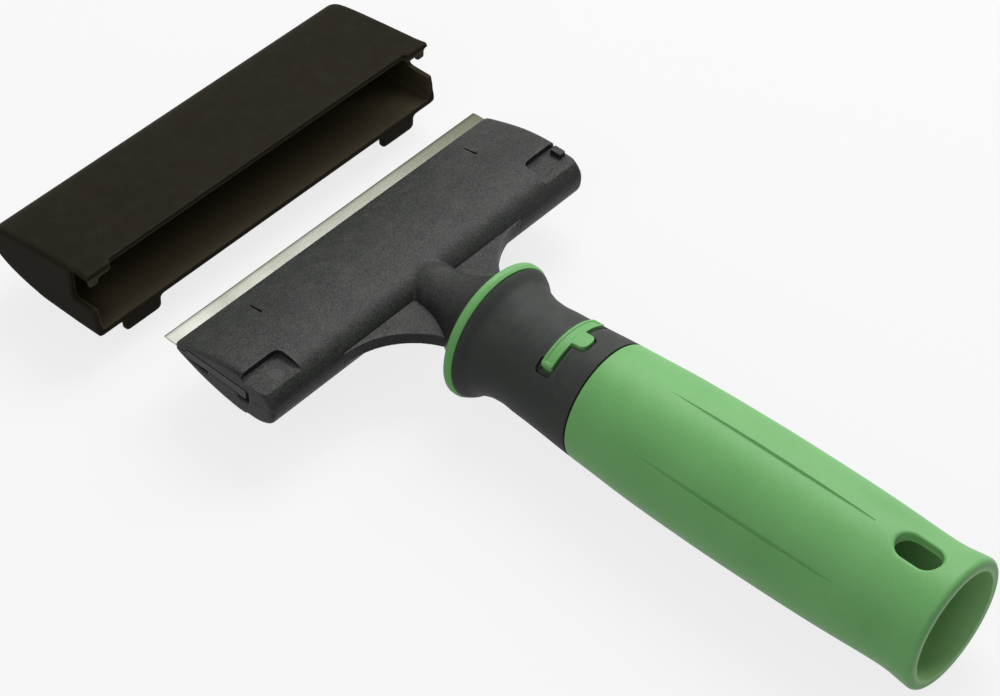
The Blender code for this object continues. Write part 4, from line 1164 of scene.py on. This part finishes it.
def cap_section(inward=0.0, rear=0.0, top_rear=CAP_TOP_SETBACK):
    """The cap's section from its top rear edge, round the nose, to its bottom rear edge."""
    depth = CAP_DEPTH - inward
    top = eased([(depth * a, (CAP_RISE - inward) * out) for a, out in CAP_TOP_SHARES], 4)
    bottom = eased([(depth * a, (inward - CAP_DROP) * out) for a, out in CAP_BOTTOM_SHARES], 4)
    top = [(top_rear, top[0][1])] + [(u, v) for u, v in top if u > top_rear + CAP_EDGE_STEP]
    bottom[-1] = (rear, bottom[-1][1])
    return [(CAP_REAR_Y + u, v) for u, v in top + bottom]


half = CAP_LENGTH / 2
cap = new_piece("cap_shell", rounded_bar(cap_section, half, CAP_END_ROUND))
cavity = cap_section(CAP_WALL, -OVERRUN, -OVERRUN)
roof = cavity[0][1]
tongue_y = CAP_REAR_Y + CAP_TOP_SETBACK
edge_x = half - CAP_END_ROUND
plate_x = edge_x - TONGUE_WIDTH
cut_rear, cut_top = CAP_REAR_Y - OVERRUN, CAP_RISE + OVERRUN
cutters = [
    along_x(cavity, CAP_WALL - half, half - CAP_WALL),
    block((-plate_x, cut_rear, 0.0), (plate_x, tongue_y + TONGUE_REACH, cut_top)),
]
fillings = []
for sign in (-1.0, 1.0):
    cutters.append(block(
        (sign * (half - CAP_WALL - OVERRUN), cut_rear, roof - SLOT_HEIGHT),
        (sign * (half + OVERRUN), CAP_REAR_Y + SLOT_LENGTH, roof),
    ))
    for start, drop in ((plate_x, TONGUE_DROP), (TONGUE_TIP_X, TONGUE_TIP_DROP)):
        fillings.append(block(
            (sign * start, tongue_y, roof - drop),
            (sign * edge_x, tongue_y + TONGUE_DEPTH, roof + CAP_WALL / 2),
        ))
    lug_end = half - LUG_END_ROOM
    low, high = sorted((sign * lug_end, sign * (lug_end - LUG_WIDTH)))
    lug_top, lug_foot = CAP_WALL - CAP_DROP, -CAP_DROP - LUG_DROP
    lug = [(low, lug_top), (low, lug_foot), (high, lug_foot), (high, lug_top)]
    lug = rounded(lug, [0, LUG_ROUND, LUG_ROUND, 0])
    fillings.append(along_y(lug, CAP_REAR_Y, CAP_REAR_Y + LUG_THICKNESS))
combine(cap, cutters)
combine(cap, fillings, "UNION")
soft_skin(cap, CAP_VOXEL, 2)
print("cap faces:", len(cap.data.polygons))

# %% [markdown]
# ## Where the edges are
#
# Handling rubs the edges of plastic first: they get paler and smoother. A material can't
# know where an edge is, so each mesh gets a number per point that is high on outer edges.
# It compares a point with the middle of its neighbours, along the point's normal.

# %% Measure the edges
RIM_GAIN = 3.0


def store(mesh, name, values):
    """Keep one number per point as an attribute."""
    layer = mesh.attributes.new(name, "FLOAT", "POINT")
    layer.data.foreach_set("value", values.astype(np.float32))


def mark_edges(mesh):
    """Store how far each point stands out of its neighbours as the attribute 'rim'."""
    co = vectors(mesh.vertices, "co")
    a, b, mean, middle = edge_net(mesh)
    length = np.linalg.norm(co[a] - co[b], axis=1)
    mean_length = np.maximum(mean(length, length), 1e-9)
    out = ((co - middle(co)) * vectors(mesh.vertex_normals, "vector")).sum(1)
    rim = np.clip(out / mean_length * RIM_GAIN, 0.0, 1.0)
    store(mesh, "rim", 0.5 * rim + 0.5 * mean(rim[a], rim[b]))


for item in (handle, collar, button, head, underside, cap):
    mark_edges(item.data)
print("edges measured")

# %% [markdown]
# ## Where a wall faces inwards
#
# The socket of the grip and the hollow of the cap get a paler tone that is painted light: it
# stands for the light that falls into them, and in the socket it is strongest near the mouth.
# The round mark that an ejector pin left in the head's pocket gets a dull, paler tone of its
# own. A second number per point says how far it belongs to such a place.

# %% Mark the dull places
INSIDE_EASE = 0.4 * MM
PAINTED_LIGHT_END_Y = 15.0 * MM - HANDLE_LENGTH
PAINTED_LIGHT_FADE = 9.0 * MM
DULL_AND_PAINTED_LIGHT_NEAR = 0.5 * MM


def in_socket(co):
    radius = np.hypot(co[:, 0], co[:, 2])
    ends = [-HANDLE_LENGTH, SOCKET_END_Y], [SOCKET_MOUTH_R, SOCKET_END_R]
    room = np.interp(co[:, 1], *ends) + INSIDE_EASE * 1.5 - radius
    # Painted light: the socket's paler tone is strongest at the mouth and fades out deeper in.
    near_mouth = np.clip((PAINTED_LIGHT_END_Y - co[:, 1]) / PAINTED_LIGHT_FADE, 0.0, 1.0)
    return np.where(co[:, 1] < SOCKET_END_Y, room, 0.0) * near_mouth


# The cap's hollow gets the same kind of paler tone, painted light for the light falling into it.
def in_cap(co):
    nose = max(range(len(cavity)), key=lambda k: cavity[k][0])
    high = np.interp(co[:, 1], *zip(*cavity[:nose + 1]))
    low = np.interp(co[:, 1], *zip(*cavity[nose:][::-1]))
    room = np.minimum(high - co[:, 2], co[:, 2] - low)
    room = np.minimum(room, CAP_LENGTH / 2 - CAP_WALL - np.abs(co[:, 0]))
    return np.where(co[:, 1] > CAP_REAR_Y + DULL_AND_PAINTED_LIGHT_NEAR, room + INSIDE_EASE * 1.5, 0.0)


def in_ejector_mark(co):
    away = np.hypot(co[:, 0] - ejector_x, co[:, 1] - ejector_y)
    near_floor = np.abs(co[:, 2] - pocket_floor) < DULL_AND_PAINTED_LIGHT_NEAR
    return np.where(near_floor, EJECTOR_R - away + INSIDE_EASE / 2, 0.0)


dull_and_painted_light_shares = []
for item, depth_inside in ((handle, in_socket), (cap, in_cap), (head, in_ejector_mark)):
    depth = depth_inside(vectors(item.data.vertices, "co"))
    share = np.clip(depth / INSIDE_EASE, 0.0, 1.0)
    store(item.data, "dull_and_painted_light", share)
    dull_and_painted_light_shares.append(share.mean())
print("dull shares:", [round(float(share), 3) for share in dull_and_painted_light_shares])

# %% [markdown]
# ## Effects that several finishes share
#
# Every plastic here has the same four things: a fine spark-eroded grain from the mould, a
# slow drift of tone, paler rubbed edges and a little dust. The grain also gives a mask for
# painted glints, small painted highlights on its pebbles. Each effect is a node group that
# gives out a value or a mask, so that a material can use it with its own sizes. The shader
# itself stays in the material.

# %% Shader node groups
class ShaderNodes(Nodes):
    """A shader's node tree, with the kinds of node that come again and again."""

    def use(self, group, wires):
        return self.put("ShaderNodeGroup", wires, node_tree=group.tree)

    def ranged(self, value, low, high, to_low=0.0, to_high=1.0):
        """Map a value from one range to another, held at both ends."""
        wires = {"From Min": low, "From Max": high, "To Min": to_low, "To Max": to_high}
        return self.put("ShaderNodeMapRange", {"Value": value, **wires})[0]

    def noise(self, vector, size, detail, roughness=0.5):
        """Noise whose features are about size metres wide."""
        wires = {"Vector": vector, "Detail": detail, "Roughness": roughness}
        wires["Scale"] = self.calc("DIVIDE", 1.0, size)
        return self.put("ShaderNodeTexNoise", wires)[0]

    def mixed(self, factor, first, second):
        """Blend two colours."""
        wires = {0: factor, 6: first, 7: second}
        return self.put("ShaderNodeMix", wires, data_type="RGBA")[2]


def shader_group(name, inputs, outputs):
    """A group that is given a place and numbers, and gives out numbers."""
    tree = bpy.data.node_groups.new(name, "ShaderNodeTree")
    tree.interface.new_socket("Place", in_out="INPUT", socket_type="NodeSocketVector")
    for way, labels in (("INPUT", inputs), ("OUTPUT", outputs)):
        for label in labels:
            tree.interface.new_socket(label, in_out=way, socket_type="NodeSocketFloat")
    nodes = ShaderNodes(tree)
    given = nodes.put("NodeGroupInput")
    return nodes, given, given["Place"]


# Grain: small pebbles in the surface, and a mask for painted glints, painted highlights on some of
# them
grain, given, place = shader_group("mould_grain", ["Size"], ["Height", "Painted Glint"])
pebbles = grain.noise(place, given["Size"], 3.0, 0.65)
fine = grain.noise(place, grain.calc("MULTIPLY", given["Size"], 0.45), 1.0)
height = grain.calc("ADD", pebbles, grain.calc("MULTIPLY", fine, 0.5))
grain.put("NodeGroupOutput", {"Height": height, "Painted Glint": grain.ranged(pebbles, 0.42, 0.68)})

# Drift: tone that changes slowly over the piece
drift, given, place = shader_group("slow_drift", ["Size"], ["Tone"])
tone = drift.noise(place, given["Size"], 3.0, 0.55)
drift.put("NodeGroupOutput", {"Tone": drift.ranged(tone, 0.3, 0.7)})

# Rubbed edges: the measured rim, broken up by noise
rubbed, given, place = shader_group("rubbed_edge", ["Rim", "Amount"], ["Mask"])
patches = rubbed.ranged(rubbed.noise(place, 1.6 * MM, 3.0, 0.6), 0.3, 0.65, 0.35, 1.0)
strong = rubbed.calc("MULTIPLY", rubbed.ranged(given["Rim"], 0.1, 0.7), patches)
rubbed.put("NodeGroupOutput", {"Mask": rubbed.calc("MULTIPLY", strong, given["Amount"])})

# Dust: a thin film on what faces up, mostly in patches
dusty, given, place = shader_group("dust_film", ["Up", "Amount"], ["Mask"])
motes = dusty.ranged(dusty.noise(place, 4.0 * MM, 5.0, 0.7), 0.45, 0.75)
strong = dusty.calc("MULTIPLY", dusty.ranged(given["Up"], 0.2, 1.0), motes)
dusty.put("NodeGroupOutput", {"Mask": dusty.calc("MULTIPLY", strong, given["Amount"])})
print("effects:", [group.tree.name for group in (grain, drift, rubbed, dusty)])

# %% [markdown]
# ## Moulded plastics
#
# The grip is polypropylene with a satin grain: mid green, with a slow change of tone. The
# head is glass-filled nylon, nearly black, with a deeper grain and painted glints, painted
# highlights on the grain that are strongest where it faces up, such as on the crest. The
# collar is soft rubber, rougher and with hardly any painted glint. One recipe serves them all.

# %% Plastic recipe
DUST = (176, 176, 168)
DUST_ROUGHER = 0.5
WEAR_SMOOTHER = 0.15
GRAIN_STRENGTH = 0.5
DRIFT_SIZE = 22 * MM


def linear(red, green, blue):
    """Linear colour from ordinary screen values of 0 to 255."""
    shares = [value / 255 for value in (red, green, blue)]
    bent = [s / 12.92 if s <= 0.04045 else ((s + 0.055) / 1.055) ** 2.4 for s in shares]
    return (*bent, 1.0)


def new_material(name):
    made = bpy.data.materials.new(name)
    made.use_nodes = True
    nodes = ShaderNodes(made.node_tree)
    shader = made.node_tree.nodes["Principled BSDF"]
    return made, nodes, shader, nodes.put("ShaderNodeTexCoord")["Object"]


def plastic(name, tones, size, depth, rough, painted_glint_amount, wear, dust, gloss):
    """A plastic in two tones, with a tone for wear and painted glints, a tone for dull places and
    painted light inside, grain, rubbed edges and dust.
    """
    made, nodes, shader, spot = new_material(name)
    deep, bright, worn_and_glint_tone, dull_and_painted_light = (linear(*tone) for tone in tones)
    normal = nodes.put("ShaderNodeNewGeometry")["Normal"]
    up = nodes.put("ShaderNodeSeparateXYZ", {0: normal})["Z"]
    rim, inner = (
        nodes.put("ShaderNodeAttribute", attribute_name=kind)["Fac"] for kind in ("rim", "dull_and_painted_light")
    )
    tone = nodes.use(drift, {"Place": spot, "Size": DRIFT_SIZE})[0]
    grains = nodes.use(grain, {"Place": spot, "Size": size})
    rub = nodes.use(rubbed, {"Place": spot, "Rim": rim, "Amount": wear})[0]
    film = nodes.use(dusty, {"Place": spot, "Up": up, "Amount": dust})[0]
    # Painted highlight: glints on the grain's pebbles, stronger where the surface faces up, mixed
    # in with the worn tone.
    facing_up = nodes.ranged(up, -0.2, 0.9, 0.15, 1.0)
    painted_glint = nodes.calc("MULTIPLY", grains["Painted Glint"], facing_up)
    painted_glint = nodes.calc("MULTIPLY", painted_glint, painted_glint_amount)
    colour = nodes.mixed(tone, deep, bright)
    for mask, over in ((painted_glint, worn_and_glint_tone), (rub, worn_and_glint_tone), (film, linear(*DUST)), (inner, dull_and_painted_light)):
        colour = nodes.mixed(mask, colour, over)
    roughness = nodes.ranged(tone, 0.0, 1.0, *rough)
    less = nodes.calc("MULTIPLY", rub, WEAR_SMOOTHER)
    more = nodes.calc("MULTIPLY", film, DUST_ROUGHER)
    roughness = nodes.calc("ADD", nodes.calc("SUBTRACT", roughness, less), more)
    bump = {"Height": grains["Height"], "Strength": GRAIN_STRENGTH, "Distance": depth}
    nodes.wire(shader, {
        "Specular IOR Level": gloss, "Base Color": colour, "Roughness": roughness,
        "Normal": nodes.put("ShaderNodeBump", bump)[0],
    })
    return made


# The fourth tone is painted light, paler than the outside, in the grip's socket and the cap's
# hollow, and the nylon's dull ejector mark.
GREEN = plastic(
    "green_satin", ((91, 147, 84), (101, 157, 94), (134, 186, 126), (132, 178, 118)),
    0.35 * MM, 0.06 * MM, (0.42, 0.5), painted_glint_amount=0.12, wear=0.2, dust=0.04, gloss=0.2,
)
RUBBER = plastic(
    "black_soft_rubber", ((31, 34, 32), (38, 42, 38), (74, 78, 72), (38, 42, 38)),
    0.22 * MM, 0.03 * MM, (0.62, 0.72), painted_glint_amount=0.05, wear=0.3, dust=0.04, gloss=0.25,
)
NYLON = plastic(
    "black_grained_nylon", ((20, 22, 21), (27, 29, 28), (104, 107, 102), (66, 68, 66)),
    0.3 * MM, 0.16 * MM, (0.34, 0.42), painted_glint_amount=0.32, wear=0.35, dust=0.04, gloss=0.12,
)
CAP_PLASTIC = plastic(
    "dark_cap_plastic", ((24, 20, 13), (28, 25, 17), (58, 54, 43), (58, 52, 39)),
    0.25 * MM, 0.03 * MM, (0.55, 0.65), painted_glint_amount=0.06, wear=0.3, dust=0.01, gloss=0.03,
)
GREY = plastic(
    "grey_carrier_plastic", ((44, 47, 45), (54, 56, 54), (96, 98, 94), (54, 56, 54)),
    0.25 * MM, 0.03 * MM, (0.45, 0.55), painted_glint_amount=0.1, wear=0.4, dust=0.03, gloss=0.2,
)
print("plastics:", [made.name for made in (GREEN, RUBBER, NYLON, CAP_PLASTIC, GREY)])

# %% [markdown]
# ## Steels
#
# The blade is cold-rolled strip: fine lines along its length from the rolls, and across its
# bevels from the grinding wheel. The last 0.3 mm gets a painted dark reflection, and a painted
# reflection makes the whole strip duller along X. The screws are
# black-oxidised steel.

# %% Steel recipe
# Painted dark reflection along the blade's honed edge: its colour and how strongly it covers.
PAINTED_EDGE_REFLECTION = (60, 62, 60)
PAINTED_EDGE_REFLECTION_SHARE = 0.85
STEEL_DRIFT_SIZE = 14 * MM
LINE_STRENGTH = 0.25
LINE_DEPTH = 0.01 * MM
BLADE_EDGE_AT = BLADE_EDGE_Y + SET_DOWN.y


def steel(name, tint, dark, rough, line_size, painted_reflection_tint=None):
    """Steel with drawn lines. With a reflection tint it is a blade: ground edge with a painted dark
    reflection, and a painted reflection that dulls it along X.
    """
    made, nodes, shader, spot = new_material(name)

    def drawn(scale):
        place = nodes.put("ShaderNodeMapping", {"Vector": spot, "Scale": scale})[0]
        return nodes.use(grain, {"Place": place, "Size": line_size})["Height"]

    def past(setback, blur, share=1.0):
        start = BLADE_EDGE_AT - setback
        return nodes.ranged(place["Y"], start - blur, start + blur, 0.0, share)

    place = nodes.put("ShaderNodeSeparateXYZ", {0: spot})
    lines = drawn((0.02, 1.0, 1.0))
    if painted_reflection_tint:
        wires = {0: past(BLADE_BEVEL, 0.05 * MM), 2: lines, 3: drawn((1.0, 0.03, 0.03))}
        lines = nodes.put("ShaderNodeMix", wires, data_type="FLOAT")[0]
    tone = nodes.use(drift, {"Place": spot, "Size": STEEL_DRIFT_SIZE})[0]
    colour = nodes.mixed(tone, linear(*dark), linear(*tint))
    colour = nodes.mixed(nodes.ranged(lines, 0.45, 1.15, 0.0, 0.35), colour, linear(*dark))
    if painted_reflection_tint:
        # Painted reflection: the strip's colour darkens along X towards the reflection tint.
        along = nodes.ranged(place["X"], -BLADE_LENGTH / 2, BLADE_LENGTH / 2)
        colour = nodes.mixed(along, colour, linear(*painted_reflection_tint))
        # Painted reflection: the last 0.28 mm of the edge is painted dark.
        painted_edge_reflection = past(HONE, 0.04 * MM, PAINTED_EDGE_REFLECTION_SHARE)
        colour = nodes.mixed(painted_edge_reflection, colour, linear(*PAINTED_EDGE_REFLECTION))
    bump = {"Height": lines, "Strength": LINE_STRENGTH, "Distance": LINE_DEPTH}
    nodes.wire(shader, {
        "Metallic": 1.0, "Base Color": colour,
        "Roughness": nodes.ranged(lines, 0.4, 1.1, rough, rough + 0.16),
        "Normal": nodes.put("ShaderNodeBump", bump)[0],
    })
    return made


BLADE_STEEL = steel(
    "rolled_blade_steel", (182, 184, 174), (152, 154, 143), 0.3, 0.12 * MM, painted_reflection_tint=(84, 85, 71)
)
SCREW_STEEL = steel("black_screw_steel", (96, 96, 94), (62, 62, 60), 0.38, 0.15 * MM)
print("steels:", BLADE_STEEL.name, SCREW_STEEL.name)

# %% [markdown]
# ## Setting the pieces down
#
# Each mesh moves to its place in the frame, takes its finish, hides the CAD nodes that it
# stands for and is hung on the body that carries it. The catch finger is hidden in the handle,
# and its CAD node is right as it is, so it only gets a better material.

# %% Dress the frame
SMOOTH_BELOW = math.radians(35)
pieces = [
    (handle, GREEN, "green_plastic", "handle", ["handle_core"]),
    (collar, RUBBER, "black_rubber", "handle", ["collar_grip"]),
    (button, GREEN, "green_plastic", "button", ["lock_button"]),
    (head, NYLON, "black_plastic", "handle", ["head_body"]),
    (underside, NYLON, "black_plastic", "handle", ["head_base"]),
    (blade, BLADE_STEEL, "blade_steel", "handle", ["blade"]),
    (carrier, GREY, "grey_plastic", "handle", ["blade_carrier"]),
    (screws, SCREW_STEEL, "screw_steel", "handle", [f"base_screw_{k}" for k in range(1, 5)]),
    (cap, CAP_PLASTIC, "cap_plastic", "cap", ["blade_cap"]),
]
for item, finish, slot_name, body, nodes in pieces:
    mesh = item.data
    mesh.transform(Matrix.Translation(SET_DOWN))
    mesh.materials.clear()
    mesh.materials.append(finish)
    mesh.shade_smooth()
    mesh.set_sharp_from_angle(angle=SMOOTH_BELOW)
    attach(item, body)
    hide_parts(*nodes)
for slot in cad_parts["catch_finger"].material_slots:
    slot.material = NYLON
triangles = sum(len(face.vertices) - 2 for piece in pieces for face in piece[0].data.polygons)
print("pieces:", len(pieces), "triangles:", triangles)

# %% [markdown]
# ## Floor, light and white background
#
# The photograph shows the tool cut out on white. A pale floor and three soft lamps give the
# same even light from above, and the floor and the world look white to the camera and in
# reflections without putting more light on the tool.

# %% Build the studio
FLOOR_HALF = 3.0
FLOOR_Z = -0.05 * MM
FLOOR_GLOW_SHARE = 0.8
WORLD_LIGHT = 0.36
LAMP_SIZE = 0.5
WHITE = (1.0, 1.0, 1.0, 1.0)

mesh = bpy.data.meshes.new("studio_floor")
corners = [(-1, -1), (1, -1), (1, 1), (-1, 1)]
mesh.from_pydata([(x * FLOOR_HALF, y * FLOOR_HALF, FLOOR_Z) for x, y in corners], [], [range(4)])
floor = link("studio_floor", mesh)
floor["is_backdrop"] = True


def start_tree(owner):
    """Empty a material's or a world's tree; 'seen' is 1 for rays that show it, else 0."""
    owner.use_nodes = True
    owner.node_tree.nodes.clear()
    nodes = ShaderNodes(owner.node_tree)
    path = nodes.put("ShaderNodeLightPath")
    seen = nodes.calc("MAXIMUM", path["Is Camera Ray"], path["Is Glossy Ray"])
    return nodes, nodes.calc("MAXIMUM", seen, path["Is Transmission Ray"])


paper = bpy.data.materials.new("pale_paper")
nodes, seen = start_tree(paper)
diffuse = nodes.put("ShaderNodeBsdfDiffuse", {"Color": (0.5, 0.5, 0.5, 1.0)})[0]
glow = nodes.put("ShaderNodeEmission", {"Color": WHITE, "Strength": 1.0})[0]
share = nodes.calc("MULTIPLY", seen, FLOOR_GLOW_SHARE)
blend = nodes.put("ShaderNodeMixShader", {0: share, 1: diffuse, 2: glow})[0]
nodes.put("ShaderNodeOutputMaterial", {"Surface": blend})
floor.data.materials.append(paper)

world = bpy.context.scene.world = bpy.data.worlds.new("white_room")
nodes, seen = start_tree(world)
strength = nodes.ranged(seen, 0.0, 1.0, WORLD_LIGHT, 1.0)
back = nodes.put("ShaderNodeBackground", {"Color": WHITE, "Strength": strength})[0]
nodes.put("ShaderNodeOutputWorld", {"Surface": back})


def softbox(name, spot, level):
    """A square lamp aimed at the origin, at a share of a plain level of light there."""
    lamp = bpy.data.lights.new(name, "AREA")
    lamp.size = LAMP_SIZE
    lamp.energy = level * math.pi**2 * Vector(spot).length_squared
    item = link(name, lamp)
    item.location = spot
    item.rotation_euler = (-Vector(spot)).to_track_quat("-Z", "Y").to_euler()


softbox("key_light", (0.42, 0.28, 0.78), 0.72)
softbox("side_light", (0.7, 0.0, 0.6), 0.54)
softbox("fill_light", (-0.75, -0.1, 0.6), 0.25)
print("lamps:", [lamp.name for lamp in bpy.data.lights])

# %% [markdown]
# ## The camera
#
# The view was worked out from the photograph: the blade's edge, the handle's outline and
# the mouth of the socket fix the angles, the distance and the slight tilt. The picture is
# taken to be 1000 by 696.

# %% Place the camera
AZIMUTH = math.radians(-48.89)
ELEVATION = math.radians(45.84)
ROLL = math.radians(0.89)
DISTANCE = 604.5 * MM
FOCAL_PIXELS = 2809.0
IMAGE_WIDTH = 1000.0
SENSOR = 36.0
OFF_X = -13.35
OFF_Y = 23.13
ZOOM = 0.985
SHIFT_X = -6.0 / IMAGE_WIDTH
SHIFT_Y = 3.0 / IMAGE_WIDTH
CLIP = (0.05, 20.0)

away = math.cos(ELEVATION)
back = Vector((math.sin(AZIMUTH) * away, -math.cos(AZIMUTH) * away, math.sin(ELEVATION)))
right = (-back).cross(Vector((0.0, 0.0, 1.0))).normalized()
above = right.cross(-back)
level = right * math.cos(ROLL) + above * math.sin(ROLL)
upward = above * math.cos(ROLL) - right * math.sin(ROLL)
shift = (level * OFF_X + upward * OFF_Y) * (DISTANCE / FOCAL_PIXELS)
eye = back * DISTANCE - shift + SET_DOWN

lens = bpy.data.cameras.new("photo_view")
lens.sensor_width = SENSOR
lens.lens = SENSOR * FOCAL_PIXELS / IMAGE_WIDTH * ZOOM
lens.shift_x = SHIFT_X
lens.shift_y = SHIFT_Y
lens.clip_start, lens.clip_end = CLIP
camera = link("photo_view", lens)
turned_axes = Matrix((level, upward, back)).transposed()
camera.matrix_world = Matrix.Translation(eye) @ turned_axes.to_4x4()
bpy.context.scene.camera = camera
bpy.context.scene.view_settings.view_transform = "Standard"
print("camera at", [round(value, 3) for value in camera.location], "lens", round(lens.lens, 1))

# %% Print the sizes and finish
low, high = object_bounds()
boxes = [list(cad_low), list(cad_high), list(low), list(high)]
boxes = [[float(value) for value in corner] for corner in boxes]
for title, size in (("CAD box", cad_high - cad_low), ("dressed box", high - low)):
    print(title, [round(value / MM, 2) for value in size])
